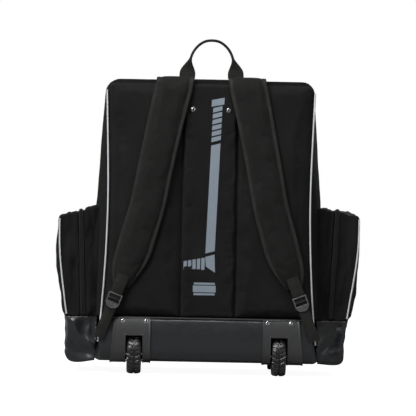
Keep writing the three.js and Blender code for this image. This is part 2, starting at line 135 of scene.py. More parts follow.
# %% Node helpers
class Graph:
    """Short calls for building one node tree."""

    def __init__(self, tree):
        self.tree = tree

    def node(self, kind, **settings):
        made = self.tree.nodes.new("ShaderNode" + kind)
        for key, value in settings.items():
            setattr(made, key, value)
        return made

    def feed(self, socket, value):
        if isinstance(value, bpy.types.NodeSocket):
            self.tree.links.new(value, socket)
        elif value is not None:
            socket.default_value = value

    def math(self, operation, a, b=None, c=None, clamp=False):
        made = self.node("Math", operation=operation, use_clamp=clamp)
        for socket, value in zip(made.inputs, (a, b, c)):
            self.feed(socket, value)
        return made.outputs[0]

    def mix(self, share, a, b):
        made = self.node("Mix", data_type="RGBA")
        self.feed(made.inputs["Factor"], share)
        self.feed(made.inputs["A"], a)
        self.feed(made.inputs["B"], b)
        return made.outputs["Result"]

    def blend(self, share, a, b):
        made = self.node("Mix", data_type="FLOAT")
        for socket, value in zip(made.inputs[:1] + made.inputs[2:4], (share, a, b)):
            self.feed(socket, value)
        return made.outputs[0]

    def ramp(self, value, low, high, to_low=0.0, to_high=1.0):
        made = self.node("MapRange", interpolation_type="SMOOTHSTEP")
        for socket, v in zip(made.inputs, (value, low, high, to_low, to_high)):
            self.feed(socket, v)
        return made.outputs[0]

    def noise(self, where, scale, detail=3.0, roughness=0.55):
        made = self.node("TexNoise")
        self.feed(made.inputs["Vector"], where)
        self.feed(made.inputs["Scale"], scale)
        self.feed(made.inputs["Detail"], detail)
        self.feed(made.inputs["Roughness"], roughness)
        return made.outputs["Fac"]


def start_group(name, inputs, outputs):
    group = bpy.data.node_groups.new(name, "ShaderNodeTree")
    for label, kind, value in inputs:
        socket = group.interface.new_socket(label, in_out="INPUT", socket_type="NodeSocket" + kind)
        if value is not None:
            socket.default_value = value
    for label, kind in outputs:
        group.interface.new_socket(label, in_out="OUTPUT", socket_type="NodeSocket" + kind)
    graph = Graph(group)
    return group, graph, group.nodes.new("NodeGroupInput").outputs, group.nodes.new("NodeGroupOutput").inputs


# %% [markdown]
# A plain weave is two sets of threads that pass over each other by turns. Each thread is rounded across its
# width, and a checkerboard says which of the two lies on top. The colour is painted lighter on the rounded
# top of each thread and darker at its edges, as painted light and painted shade. Slow noise adds the mottling
# of used cloth.

# %% The weave group
def make_weave():
    group, g, given, out = start_group(
        "plain_weave",
        [("Map", "Vector", None), ("Place", "Vector", None), ("Threads per metre", "Float", 1400.0),
         ("Valley", "Color", (0.005, 0.005, 0.005, 1)), ("Crown", "Color", (0.02, 0.02, 0.02, 1)),
         ("Mottle", "Float", 0.3)],
        [("Color", "Color"), ("Height", "Float"), ("Roughness", "Float")])
    split = g.node("SeparateXYZ")
    g.feed(split.inputs[0], given["Map"])
    along = g.math("MULTIPLY", split.outputs[0], given["Threads per metre"])
    across = g.math("MULTIPLY", split.outputs[1], given["Threads per metre"])
    round_a = g.math("SINE", g.math("MULTIPLY", g.math("FRACT", along), math.pi))
    round_b = g.math("SINE", g.math("MULTIPLY", g.math("FRACT", across), math.pi))
    over = g.math("FLOORED_MODULO", g.math("ADD", g.math("FLOOR", along), g.math("FLOOR", across)), 2.0)
    thread = g.blend(over, round_a, round_b)
    slow = g.noise(given["Place"], 14.0, 4.0)
    patch = g.noise(given["Place"], 120.0, 2.0)
    worn = g.math("MULTIPLY", g.math("ADD", g.math("SUBTRACT", slow, 0.5), g.math("SUBTRACT", patch, 0.5)),
                  given["Mottle"])
    # Painted light and shade: the thread's height lifts the colour from the shaded Valley colour to the lit
    # Crown colour, together with the wear mottle.
    painted_shade_and_tone = g.math("ADD", g.math("MULTIPLY_ADD", thread, 0.5, 0.22), worn, clamp=True)
    g.feed(out["Color"], g.mix(painted_shade_and_tone, given["Valley"], given["Crown"]))
    g.feed(out["Height"], g.math("MULTIPLY_ADD", patch, 0.3, thread))
    g.feed(out["Roughness"], g.ramp(slow, 0.2, 0.8, 0.92, 0.74))
    return group


WEAVE = make_weave()

# %% [markdown]
# Moulded plastic, rubber and coated cloth share a fine pebble grain, broad wear and a few light scuffs. The
# group puts these out as colour, height and roughness, and each material chooses its own size and depth.

# %% The grain group
def make_grain():
    group, g, given, out = start_group(
        "pebble_grain",
        [("Place", "Vector", None), ("Grain per metre", "Float", 1500.0),
         ("Dark", "Color", (0.01, 0.01, 0.01, 1)), ("Light", "Color", (0.03, 0.03, 0.03, 1)),
         ("Scuffs", "Float", 0.3), ("Gloss", "Float", 0.5)],
        [("Color", "Color"), ("Height", "Float"), ("Roughness", "Float")])
    cells = g.node("TexVoronoi")
    g.feed(cells.inputs["Vector"], given["Place"])
    g.feed(cells.inputs["Scale"], given["Grain per metre"])
    slow = g.noise(given["Place"], 11.0, 4.0)
    fine = g.noise(given["Place"], 160.0, 3.0)
    stretch = g.node("Mapping")
    stretch.inputs["Scale"].default_value = (30, 30, 190)
    stretch.inputs["Rotation"].default_value = (0.3, 0.5, 0.2)
    g.feed(stretch.inputs["Vector"], given["Place"])
    lines = g.noise(stretch.outputs[0], 1.0, 5.0, 0.7)
    scuff = g.math("MULTIPLY", g.ramp(lines, 0.62, 0.74), given["Scuffs"])
    cloudy = g.math("MULTIPLY_ADD", fine, 0.4, g.math("MULTIPLY", slow, 0.6))
    base = g.mix(cloudy, given["Dark"], given["Light"])
    g.feed(out["Color"], g.mix(g.math("MULTIPLY", scuff, 0.5), base, given["Light"]))
    g.feed(out["Height"], g.math("ADD", cells.outputs["Distance"], g.math("MULTIPLY", scuff, 0.5)))
    rough = g.math("MULTIPLY_ADD", g.math("SUBTRACT", fine, 0.5), 0.25, given["Gloss"])
    g.feed(out["Roughness"], g.math("MULTIPLY_ADD", scuff, 0.25, rough, clamp=True))
    return group


GRAIN = make_grain()

# %% [markdown]
# Webbing and binding tape are woven with ribs: short ridges lean one way in one column and the other way in
# the next, like a herringbone. The ribs follow the length of the tape, which the piece's own map gives. Each
# rib is painted lighter on its ridge and darker in its groove, as painted light and painted shade.

# %% The rib group
def make_ribs():
    group, g, given, out = start_group(
        "herringbone_ribs",
        [("Map", "Vector", None), ("Place", "Vector", None), ("Ribs per metre", "Float", 700.0),
         ("Columns per metre", "Float", 260.0), ("Valley", "Color", (0.005, 0.005, 0.005, 1)),
         ("Crown", "Color", (0.03, 0.03, 0.03, 1))],
        [("Color", "Color"), ("Height", "Float"), ("Roughness", "Float")])
    split = g.node("SeparateXYZ")
    g.feed(split.inputs[0], given["Map"])
    column = g.math("MULTIPLY", split.outputs[0], given["Columns per metre"])
    lean = g.math("PINGPONG", column, 1.0)
    row = g.math("MULTIPLY_ADD", split.outputs[1], given["Ribs per metre"], g.math("MULTIPLY", lean, 0.9))
    ridge = g.math("SINE", g.math("MULTIPLY", g.math("FRACT", row), math.pi))
    slow = g.noise(given["Place"], 40.0, 3.0)
    # Painted light and shade: the ridge lifts the colour from the shaded Valley colour to the lit Crown
    # colour, with slow noise for tone.
    painted_shade_and_tone = g.math("MULTIPLY_ADD", ridge, 0.6, g.math("MULTIPLY", slow, 0.4), clamp=True)
    g.feed(out["Color"], g.mix(painted_shade_and_tone, given["Valley"], given["Crown"]))
    g.feed(out["Height"], ridge)
    g.feed(out["Roughness"], g.ramp(slow, 0.3, 0.7, 0.8, 0.62))
    return group


RIBS = make_ribs()

# %% [markdown]
# ## Materials
# Every finish is one of the groups with its own colours and scale, a bump, and a Principled shader whose
# constant sockets (metal, gloss level, sheen) are set directly.

# %% Finishes made from a group
def colour(r, g, b):
    return (r, g, b, 1)


MOTTLE = 0.35                  # how strongly slow noise varies a cloth


def finish_from(name, group, values, depth, **constants):
    material = bpy.data.materials.new(name)
    material.use_nodes = True
    g = Graph(material.node_tree)
    shader = material.node_tree.nodes["Principled BSDF"]
    pattern = g.node("Group")
    pattern.node_tree = group
    for key, value in values.items():
        pattern.inputs[key].default_value = value
    if "Map" in pattern.inputs:
        g.feed(pattern.inputs["Map"], g.node("UVMap", uv_map="cloth").outputs[0])
    g.feed(pattern.inputs["Place"], g.node("TexCoord").outputs["Object"])
    bump = g.node("Bump")
    bump.inputs["Strength"].default_value = 0.6
    bump.inputs["Distance"].default_value = depth
    g.feed(bump.inputs["Height"], pattern.outputs["Height"])
    g.feed(shader.inputs["Base Color"], pattern.outputs["Color"])
    g.feed(shader.inputs["Roughness"], pattern.outputs["Roughness"])
    g.feed(shader.inputs["Normal"], bump.outputs[0])
    for key, value in constants.items():
        shader.inputs[key.replace("_", " ")].default_value = value
    return material


# valley is the painted shade colour between threads, crown the painted light colour on their tops.
def cloth_finish(name, valley, crown, threads=1300.0):
    values = {"Threads per metre": threads, "Valley": colour(*valley), "Crown": colour(*crown),
              "Mottle": MOTTLE}
    return finish_from(name, WEAVE, values, 0.0005, Specular_IOR_Level=0.14, Sheen_Weight=0.02,
                       Sheen_Roughness=0.4)


def grain_finish(name, dark, light, per_metre, scuffs, gloss, depth=0.0003, specular=0.45, metal=0.0):
    values = {"Grain per metre": per_metre, "Dark": colour(*dark), "Light": colour(*light), "Scuffs": scuffs,
              "Gloss": gloss}
    return finish_from(name, GRAIN, values, depth, Specular_IOR_Level=specular, Metallic=metal)


# valley is the painted shade colour in the rib grooves, crown the painted light colour on the ridges.
def rib_finish(name, valley, crown, ribs=700.0, columns=260.0):
    values = {"Ribs per metre": ribs, "Columns per metre": columns, "Valley": colour(*valley),
              "Crown": colour(*crown)}
    return finish_from(name, RIBS, values, 0.0004, Specular_IOR_Level=0.25)


POLYESTER = cloth_finish("black_polyester", (0.0035, 0.0035, 0.0037), (0.0135, 0.0135, 0.014))
PADDING = cloth_finish("pad_polyester", (0.004, 0.004, 0.0041), (0.0155, 0.0155, 0.0155))
STRAP_CLOTH = cloth_finish("strap_polyester", (0.005, 0.005, 0.0048), (0.02, 0.0198, 0.019))
LINING = cloth_finish("grey_lining", (0.03, 0.031, 0.034), (0.085, 0.087, 0.092), 1800.0)
TARPAULIN = grain_finish("coated_tarpaulin", (0.009, 0.0098, 0.0112), (0.022, 0.0235, 0.0265),
                         900.0, 0.35, 0.34, 0.00012, 0.55)
PLATE = grain_finish("wheel_plate_plastic", (0.027, 0.0275, 0.028), (0.05, 0.0505, 0.0515),
                     1300.0, 0.5, 0.33)
HARD_BLACK = grain_finish("moulded_black", (0.006, 0.006, 0.0065), (0.018, 0.018, 0.019),
                          1600.0, 0.4, 0.45)
BUCKLE = grain_finish("buckle_plastic", (0.045, 0.045, 0.045), (0.095, 0.095, 0.095),
                      1800.0, 0.3, 0.26, 0.0001, 0.7)
RUBBER = grain_finish("tyre_rubber", (0.004, 0.004, 0.004), (0.014, 0.014, 0.0145),
                      800.0, 0.5, 0.30, 0.0003, 0.75)
BOARD = grain_finish("stiff_board", (0.01, 0.01, 0.011), (0.022, 0.022, 0.024), 600.0, 0.2, 0.6)
STEEL = grain_finish("bright_steel", (0.62, 0.63, 0.64), (0.84, 0.85, 0.86),
                     2600.0, 0.25, 0.22, 0.00004, 0.5, 1.0)
TUBE = grain_finish("drawn_tube", (0.42, 0.44, 0.46), (0.62, 0.64, 0.66),
                    2600.0, 0.4, 0.3, 0.00004, 0.5, 1.0)
PULL = grain_finish("gunmetal_pull", (0.16, 0.165, 0.175), (0.3, 0.305, 0.31),
                    2600.0, 0.4, 0.32, 0.00004, 0.5, 1.0)
PIPING = grain_finish("reflective_piping", (0.50, 0.515, 0.53), (0.70, 0.715, 0.73),
                      2200.0, 0.15, 0.4, 0.0002, 0.6)
PRINT = grain_finish("printed_film", (0.19, 0.225, 0.265), (0.235, 0.275, 0.32),
                     1800.0, 0.25, 0.5, 0.0001, 0.4)
THREAD = grain_finish("sewing_thread", (0.012, 0.012, 0.0115), (0.035, 0.035, 0.033),
                      3000.0, 0.1, 0.7, 0.0001, 0.3)
WEBBING = rib_finish("black_webbing", (0.003, 0.003, 0.0026), (0.0165, 0.0165, 0.0142))
BINDING = rib_finish("binding_tape", (0.005, 0.005, 0.0042), (0.023, 0.0228, 0.0192), 900.0, 420.0)
ZIP_TAPE = rib_finish("zip_tape", (0.004, 0.004, 0.004), (0.0125, 0.0125, 0.013), 1400.0, 700.0)
COIL = grain_finish("nylon_coil", (0.004, 0.004, 0.004), (0.012, 0.012, 0.012),
                    2600.0, 0.1, 0.45, 0.0001, 0.3)
print("materials:", len(bpy.data.materials))

# %% [markdown]
# ## Sewing helpers
# Cloth starts as a flat grid, and every point of the grid is laid where a small function says. The same call
# keeps the grid's own coordinates, in metres, as the map that the weave follows.

# %% Lay a grid, and finish a piece
def clamp(value, low=0.0, high=1.0):
    return max(low, min(high, value))


def smooth(t):
    t = clamp(t)
    return t * t * (3 - 2 * t)


def mix(a, b, t):
    return a + (b - a) * t


def laid_grid(columns, rows, place, cloth):
    """A grid laid by place(u, v); cloth is its real width and length in metres."""
    bm = bmesh.new()
    bmesh.ops.create_grid(bm, x_segments=columns, y_segments=rows, size=0.5)
    uv = bm.loops.layers.uv.new("cloth")
    for face in bm.faces:
        for loop in face.loops:
            loop[uv].uv = ((loop.vert.co.x + 0.5) * cloth[0], (loop.vert.co.y + 0.5) * cloth[1])
    for vert in bm.verts:
        vert.co = Vector(place(vert.co.x + 0.5, vert.co.y + 0.5))
    return bm


def face_away_from(bm, centre):
    """Turn all faces so that most of them look away from a point."""
    bm.normal_update()
    total = sum(f.normal.dot(f.calc_center_median() - Vector(centre)) * f.calc_area() for f in bm.faces)
    if total < 0:
        bmesh.ops.reverse_faces(bm, faces=bm.faces[:])
    bm.normal_update()


def crumple(bm, height):
    """Move every point along its normal by height(point) metres."""
    bm.normal_update()
    moves = [(v, v.normal * height(v.co)) for v in bm.verts]
    for vert, move in moves:
        vert.co += move
    bm.normal_update()


def make_piece(name, bm, body, materials, sharp=40, stands_for=(), mirror=False):
    """The finished mesh as an object that rides on a body. mirror makes it the left one."""
    if mirror:
        bmesh.ops.scale(bm, vec=(-1, 1, 1), verts=bm.verts[:])
        bmesh.ops.reverse_faces(bm, faces=bm.faces[:])
    mesh = bpy.data.meshes.new(name)
    bm.to_mesh(mesh)
    bm.free()
    for material in materials if isinstance(materials, (list, tuple)) else [materials]:
        mesh.materials.append(material)
    mesh.shade_smooth()
    mesh.set_sharp_from_angle(angle=math.radians(sharp))
    piece = bpy.data.objects.new(name, mesh)
    bpy.context.scene.collection.objects.link(piece)
    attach(piece, body)
    if stands_for:
        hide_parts(*([stands_for] if isinstance(stands_for, str) else stands_for))
    return piece


def add_wall(piece, thickness, inside=0):
    """A live Solidify that gives cloth its thickness inwards; inside is the step to the lining's material."""
    wall = piece.modifiers.new("wall", "SOLIDIFY")
    wall.thickness = thickness
    wall.offset = -1
    wall.material_offset = inside
    wall.material_offset_rim = 0
    return piece


# %% [markdown]
# Straps, cords and stitches all follow lines in space. A line is a few points with a smooth curve through
# them, and it answers with a point and a direction at any share of its length.

# %% Lines through points
class Line:
    def __init__(self, points, steps=14):
        knots = [Vector(p) for p in points]
        dense = []
        for i in range(len(knots) - 1):
            before = knots[max(0, i - 1)]
            after = knots[min(len(knots) - 1, i + 2)]
            first = knots[i] + (knots[i + 1] - before) / 6
            second = knots[i + 1] - (after - knots[i]) / 6
            for s in range(steps):
                t = s / steps
                a, b, c, d = (1 - t) ** 3, 3 * t * (1 - t) ** 2, 3 * t * t * (1 - t), t ** 3
                dense.append(knots[i] * a + first * b + second * c + knots[i + 1] * d)
        dense.append(knots[-1])
        self.points = dense
        self.reach = [0.0]
        for a, b in zip(dense, dense[1:]):
            self.reach.append(self.reach[-1] + (b - a).length)
        self.length = self.reach[-1]

    def at(self, share):
        want = clamp(share) * self.length
        low, high = 0, len(self.reach) - 1
        while high - low > 1:
            middle = (low + high) // 2
            if self.reach[middle] <= want:
                low = middle
            else:
                high = middle
        span = self.reach[high] - self.reach[low] or 1e-9
        return self.points[low].lerp(self.points[high], (want - self.reach[low]) / span)

    def along(self, share):
        step = 0.004
        return (self.at(min(1, share + step)) - self.at(max(0, share - step))).normalized()


# %% [markdown]
# Piping is a round cord in a cloth sleeve. A Blender curve with a round bevel makes it, and it becomes a
# mesh at once so that its place is in its points like everything else.

# %% Round cord along a line
def cord_mesh(points, radius, sides=10):
    curve = bpy.data.curves.new("cord_line", "CURVE")
    curve.dimensions = "3D"
    curve.bevel_depth = radius
    curve.bevel_resolution = max(0, sides // 4 - 1)
    curve.use_fill_caps = True
    spline = curve.splines.new("POLY")
    spline.points.add(len(points) - 1)
    for knot, point in zip(spline.points, points):
        knot.co = (*point, 1)
    shape = bpy.data.objects.new("cord_line", curve)
    bpy.context.scene.collection.objects.link(shape)
    mesh = bpy.data.meshes.new_from_object(shape.evaluated_get(bpy.context.evaluated_depsgraph_get()))
    bm = bmesh.new()
    bm.from_mesh(mesh)
    bpy.data.objects.remove(shape)
    bpy.data.curves.remove(curve)
    bpy.data.meshes.remove(mesh)
    return bm


# %% [markdown]
# A seam is only believable with its stitches. Each stitch is a tiny stretched ball with twenty faces that
# lies on the cloth, and a row of them is one mesh.

# %% Rows of stitches
STITCH = 3.2 * MM
STITCH_GAP = 1.4 * MM
THREAD_R = 0.42 * MM


def sew(bm, line, up):
    """Stitches along a Line; up is the direction that the cloth faces."""
    count = max(2, int(line.length / (STITCH + STITCH_GAP)))
    for i in range(count):
        share = (i + 0.5) / count
        forward = line.along(share)
        face = up(line.at(share)) if callable(up) else Vector(up)
        side = forward.cross(face).normalized()
        turn = Matrix((side, forward, side.cross(forward))).transposed().to_4x4()
        size = Matrix.Diagonal((THREAD_R, STITCH / 2, THREAD_R * 0.8, 1))
        bmesh.ops.create_icosphere(bm, subdivisions=1, radius=1.0,
                                   matrix=Matrix.Translation(line.at(share)) @ turn @ size)


# %% [markdown]
# ## The bag's shape
# The harness panel is narrowest at about two thirds of the height, and the flanks swell a little behind it.
# These curves are the same ones that the frame was cut from, so cloth and frame agree.

# %% Shared outlines
TOP_Z, BAND_Z = 0.700, 0.132    # the bag's top, and the seam above each pocket's coated base
BACK_Y, PAD_Y, FRONT_Y, ZIP_Y = -0.178, -0.190, 0.212, 0.150
FORM_HALF = 0.240
SIDES = (("left", True), ("right", False))


def panel_half(z):
    z /= MM
    return (237 + 17 * ((430 - z) / 345) ** 2 if z < 430 else 237 + 8 * ((z - 430) / 270) ** 1.3) * MM


BELLY_POWER = 3.4              # the higher, the flatter the flank between its two edges


def belly_half(z):
    z /= MM
    return (272 if z < 400 else 272 - 26 * ((z - 400) / 300) ** 1.1) * MM


def half_width(y, z):
    t = clamp((y - BACK_Y) / (FRONT_Y - BACK_Y))
    return mix(panel_half(z), belly_half(z), 1 - abs(2 * t - 1) ** BELLY_POWER)


def folds(point, size, depth, seed, stretch=(1, 1, 1)):
    """Soft random folds: depth in metres, size is the usual distance between two folds."""
    at = Vector((point.x * stretch[0], point.y * stretch[1], point.z * stretch[2])) / size
    return depth * noise.fractal(at + Vector((seed * 7.3, seed * 3.1, seed * 5.7)), 0.9, 2.1, 3)


print("panel half widths:", [round(panel_half(z), 4) for z in (0.14, 0.43, 0.69)])

# %% [markdown]
# ## Shell and door
# The real bag is sewn from a long strip that runs up one flank, over the top and down the other, closed by a
# back wall and a full-height door. One grid follows that hoop in one direction and the depth of the bag in
# the other, closes both ends towards the base, and is cut along the zip afterwards, so that shell and door
# meet exactly.

# %% The hoop over the bag
CORNER = 0.028
SEAM_Z = 0.1335


def hoop(u):
    """A point of the hoop before it is fitted to the bag: up the left, over the top, down the right."""
    rise = TOP_Z - CORNER - SEAM_Z
    arc = CORNER * math.pi / 2
    flat = 2 * (FORM_HALF - CORNER)
    want = u * (2 * rise + 2 * arc + flat)
    flip = want > rise + arc + flat / 2
    if flip:
        want = 2 * rise + 2 * arc + flat - want
    if want < rise:
        x, z = -FORM_HALF, SEAM_Z + want
    elif want < rise + arc:
        turn = (want - rise) / CORNER
        x, z = -FORM_HALF + CORNER * (1 - math.cos(turn)), TOP_Z - CORNER + CORNER * math.sin(turn)
    else:
        x, z = -FORM_HALF + CORNER + (want - rise - arc), TOP_Z
    return (-x if flip else x), z


DOOR_ROUND = 0.030
DOOR_CROWN = 0.007
BACK_END, FLANK_END, ROUND_END = 0.08, 0.56, 0.64    # shares of the grid: back wall, flank, rounded edge, door


def bag_point(u, v):
    x, z = hoop(u)
    if v < BACK_END:
        fan, y, shrink = 1 - v / BACK_END, BACK_Y, 0.0
    elif v < FLANK_END:
        share = (v - BACK_END) / (FLANK_END - BACK_END)
        fan, y, shrink = 0.0, mix(BACK_Y, FRONT_Y - DOOR_ROUND, share), 0.0
    elif v < ROUND_END:
        turn = (v - FLANK_END) / (ROUND_END - FLANK_END) * math.pi / 2
        fan, y = 0.0, FRONT_Y - DOOR_ROUND + DOOR_ROUND * math.sin(turn)
        shrink = DOOR_ROUND * (1 - math.cos(turn))
    else:
        fan = (v - ROUND_END) / (1 - ROUND_END)
        y, shrink = FRONT_Y + DOOR_CROWN * (1 - (1 - fan) ** 2.2), DOOR_ROUND
    fan *= 0.998
    height = SEAM_Z + (z - SEAM_Z) * (1 - shrink / (TOP_Z - SEAM_Z))
    wide = x / FORM_HALF * (half_width(y, height) - shrink)
    return wide * (1 - fan), y, SEAM_Z + (height - SEAM_Z) * (1 - fan)


def bag_folds(p):
    side = smooth((abs(p.x) - 0.19) / 0.05)
    top = smooth((p.z - 0.66) / 0.03) * (1 - side)
    held = smooth((0.136 - p.y) / 0.05) * smooth((p.y + 0.178) / 0.02) * smooth((p.z - 0.14) / 0.05)
    if p.z < 0.43 and -0.14 < p.y < 0.15:
        held *= mix(0.3, 1.0, smooth((p.z - 0.39) / 0.04))
    panel = smooth((p.y - 0.168) / 0.02)
    deep = folds(p, 0.16, 0.0045, 3, (1, 1.1, 0.55)) * side + folds(p, 0.11, 0.0028, 5, (0.8, 1.2, 1)) * top
    deep += folds(p, 0.2, 0.004, 8, (1.2, 1, 0.5)) * panel * smooth((p.z - 0.15) / 0.05)
    return deep * max(held, panel) + folds(p, 0.035, 0.0005, 11) * held


def bag_skin():
    bm = laid_grid(196, 150, bag_point, (1.64, 0.92))
    face_away_from(bm, (0, 0.02, 0.4))
    crumple(bm, bag_folds)
    return bm


# %% [markdown]
# The zip line is a straight cut through the hoop. The shell keeps what lies behind it and the door what lies
# in front. The shell also gets the window for the pull handle's cup: four cuts frame it, and the faces
# inside go.

# %% Cut shell and door apart
CUP_HALF = (0.0746, 0.0216)
CUP_Y = -0.150
ZIP_SLIT = 0.8 * MM            # each side keeps this far from the zip's middle
BAG_CLOTH, POCKET_CLOTH = 3.2 * MM, 2.6 * MM


def cut(bm, at, normal, keep_inner=True):
    bmesh.ops.bisect_plane(bm, geom=bm.verts[:] + bm.edges[:] + bm.faces[:], dist=1e-6, plane_co=at,
                           plane_no=normal, clear_outer=keep_inner, clear_inner=False)


def score(bm, at, normal):
    """Cut the mesh along a plane without removing anything."""
    cut(bm, at, normal, keep_inner=False)


def open_window(bm, inside, planes):
    for at, normal in planes:
        score(bm, at, normal)
    gone = [f for f in bm.faces if inside(f.calc_center_median())]
    bmesh.ops.delete(bm, geom=gone, context="FACES")


shell = bag_skin()
cut(shell, (0, ZIP_Y - ZIP_SLIT, 0), (0, 1, 0))
open_window(shell, lambda c: abs(c.x) < CUP_HALF[0] and abs(c.y - CUP_Y) < CUP_HALF[1] and c.z > 0.6,
            [((s * CUP_HALF[0], 0, 0), (s, 0, 0)) for s in (-1, 1)]
            + [((0, CUP_Y + s * CUP_HALF[1], 0), (0, s, 0)) for s in (-1, 1)])
door = bag_skin()
cut(door, (0, ZIP_Y + ZIP_SLIT, 0), (0, -1, 0))
LINED = [POLYESTER, LINING]
shell_piece = make_piece("shell_cloth", shell, "bag", LINED, stands_for="main_shell")
door_piece = make_piece("door_cloth", door, "door", LINED, stands_for=("main_door", "door_gusset"))
for piece in (shell_piece, door_piece):
    add_wall(piece, BAG_CLOTH, 1)
print("shell faces:", len(shell_piece.data.polygons), "door faces:", len(door_piece.data.polygons))

# %% [markdown]
# ## Stuffed cloth
# A padded piece is a closed mesh that a cloth simulation blows up for twenty frames. The filling pushes from
# the inside, the seams are pinned, and the cloth is cut a little larger than its frame so that it puckers
# beside them. No point may travel further than a cap, which keeps the piece clear of its neighbours.

# %% Let the filling push the cloth out
SETTLE_FRAMES = 20


def settle(bm, held, fullness, cap, slack):
    """Blow up a closed piece; held(point) is true along its seams and on its flat underside."""
    bm.verts.index_update()
    mesh = bpy.data.meshes.new("settling")
    bm.to_mesh(mesh)
    soft = bpy.data.objects.new("settling", mesh)
    scene = bpy.context.scene
    scene.collection.objects.link(soft)
    soft.vertex_groups.new(name="held").add([v.index for v in mesh.vertices if held(v.co)], 1.0, "ADD")
    cloth = soft.modifiers.new("cloth", "CLOTH")
    cloth.point_cache.frame_start, cloth.point_cache.frame_end = 1, SETTLE_FRAMES
    cloth.settings.quality = 4
    cloth.settings.vertex_group_mass = "held"
    cloth.settings.shrink_min = -slack
    cloth.settings.use_pressure = True
    cloth.settings.uniform_pressure_force = fullness
    cloth.settings.effector_weights.gravity = 0.0
    for frame_number in range(1, SETTLE_FRAMES + 1):
        scene.frame_set(frame_number)
    puffed = soft.evaluated_get(bpy.context.evaluated_depsgraph_get()).to_mesh()
    furthest = 0.0
    for vert, new in zip(bm.verts, puffed.vertices):
        move = new.co - vert.co
        furthest = max(furthest, move.length)
        if move.length > cap:
            move *= cap / move.length
        vert.co += move
    scene.frame_set(1)
    bpy.data.objects.remove(soft)
    bpy.data.meshes.remove(mesh)
    bm.normal_update()
    print("settled", len(bm.verts), "points, furthest", round(furthest * 1000, 2), "mm, cap", cap * 1000)
    return bm


# %% [markdown]
# ## Back pads and sleeve
# Foam pads lie on both sides of a flat centre sleeve that hides the pull handle's tubes. Each is a crowned,
# closed form that falls away into a seam at its rim. One grid covers the outer face, its rim and the flat
# underside that lies on the shell, and its edges are merged into one closed piece.

# %% Crowned pads
PAD_TOP, PAD_BOTTOM = 0.691, 0.1355
SLEEVE_HALF = 0.063


def pad_outer(z):
    """Outer edge of a pad, rounded at the top corner."""
    over = clamp(z - (TOP_Z - CORNER), 0, CORNER)
    return panel_half(z) - 0.0015 - (CORNER - math.sqrt(CORNER ** 2 - over ** 2))


def crown(a, b, width, height, rim):
    """How full a pad is at a point: 0 at its seam, 1 inside; a and b are shares across and up."""
    edge = min(a * width, (1 - a) * width, b * height, (1 - b) * height)
    return math.sqrt(1 - (1 - clamp(edge / rim)) ** 2)


SEWN_Y = BACK_Y - 0.0006       # where a pad lies on the shell


def folded_sheet(u, v, inner, outer, fullness):
    """A closed sheet: up to u = 0.5 it is the crowned front, after that the flat underside."""
    front, under = (u / 0.5, False) if u <= 0.5 else ((1 - u) / 0.5, True)
    z = mix(PAD_BOTTOM, PAD_TOP, v)
    x = mix(inner, outer(z), front)
    return x, SEWN_Y - (0.0 if under else fullness(front, v, Vector((x, 0, z)))), z


def pad_fullness(a, b, at):
    belly = 0.0022 * math.sin(math.pi * a) * math.sin(math.pi * b)
    ripple = folds(at, 0.13, 0.0016, 21, (1.4, 1, 0.6)) + folds(at, 0.03, 0.0004, 22)
    return crown(a, b, 0.17, 0.55, 0.016) * (0.0114 + belly + ripple)


def sleeve_fullness(a, b, at):
    return crown(a, b, 0.126, 0.555, 0.007) * (0.0122 + folds(at, 0.1, 0.0009, 31, (1.5, 1, 0.5)))


def pad_point(u, v):
    return folded_sheet(u, v, SLEEVE_HALF + 0.0015, pad_outer, pad_fullness)


def sleeve_point(u, v):
    return folded_sheet(u, v, -SLEEVE_HALF, lambda z: SLEEVE_HALF, sleeve_fullness)


def closed_pad(columns, rows, place, width, middle):
    bm = laid_grid(columns, rows, place, (width, 0.56))
    bmesh.ops.remove_doubles(bm, verts=bm.verts[:], dist=2e-5)
    face_away_from(bm, (middle, -0.182, 0.41))
    return bm


for side, left in SIDES:
    bm = settle(closed_pad(96, 130, pad_point, 0.36, 0.15), lambda p: p.y > BACK_Y - 0.004, 4.0, 0.004, 0.007)
    pad = make_piece(f"pad_cloth_{side}", bm, "bag", PADDING, 60, f"back_pad_{side}", left)

bm = closed_pad(80, 120, sleeve_point, 0.26, 0.0)
settle(bm, lambda p: p.y > BACK_Y - 0.006 or abs(p.x) < 0.036, 3.0, 0.002, 0.01)
sleeve = make_piece("sleeve_cloth", bm, "bag", PADDING, 60, "centre_sleeve")

# %% [markdown]
# The sleeve carries a print in grey-blue film: a hockey stick that stands on its blade, with tape at both
# ends, and a puck below it. Each shape is a fine grid pressed just above the sleeve's cloth.

# %% The printed stick and puck
FILM_LIFT = 0.0004


def sleeve_front(x, z):
    share = clamp((x + SLEEVE_HALF) / (2 * SLEEVE_HALF))
    return sleeve_point(share / 2, clamp((z - PAD_BOTTOM) / (PAD_TOP - PAD_BOTTOM)))[1] - FILM_LIFT


def press_film(bm, corners, columns=6, rows=6):
    """A patch of film from its corners in millimetres: low left, low right, high right, high left."""
    low_left, low_right, high_right, high_left = (Vector((x * MM, 0, z * MM)) for x, z in corners)
    made = bmesh.ops.create_grid(bm, x_segments=columns, y_segments=rows, size=0.5)["verts"]
    for vert in made:
        u, v = vert.co.x + 0.5, vert.co.y + 0.5
        spot = low_left.lerp(low_right, u).lerp(high_left.lerp(high_right, u), v)
        vert.co = Vector((spot.x, sleeve_front(spot.x, spot.z), spot.z))


def stripe(z):
    """Centre of the stick's shaft at a height, in millimetres: it leans a little."""
    return 8 + (z - 400) * 0.035


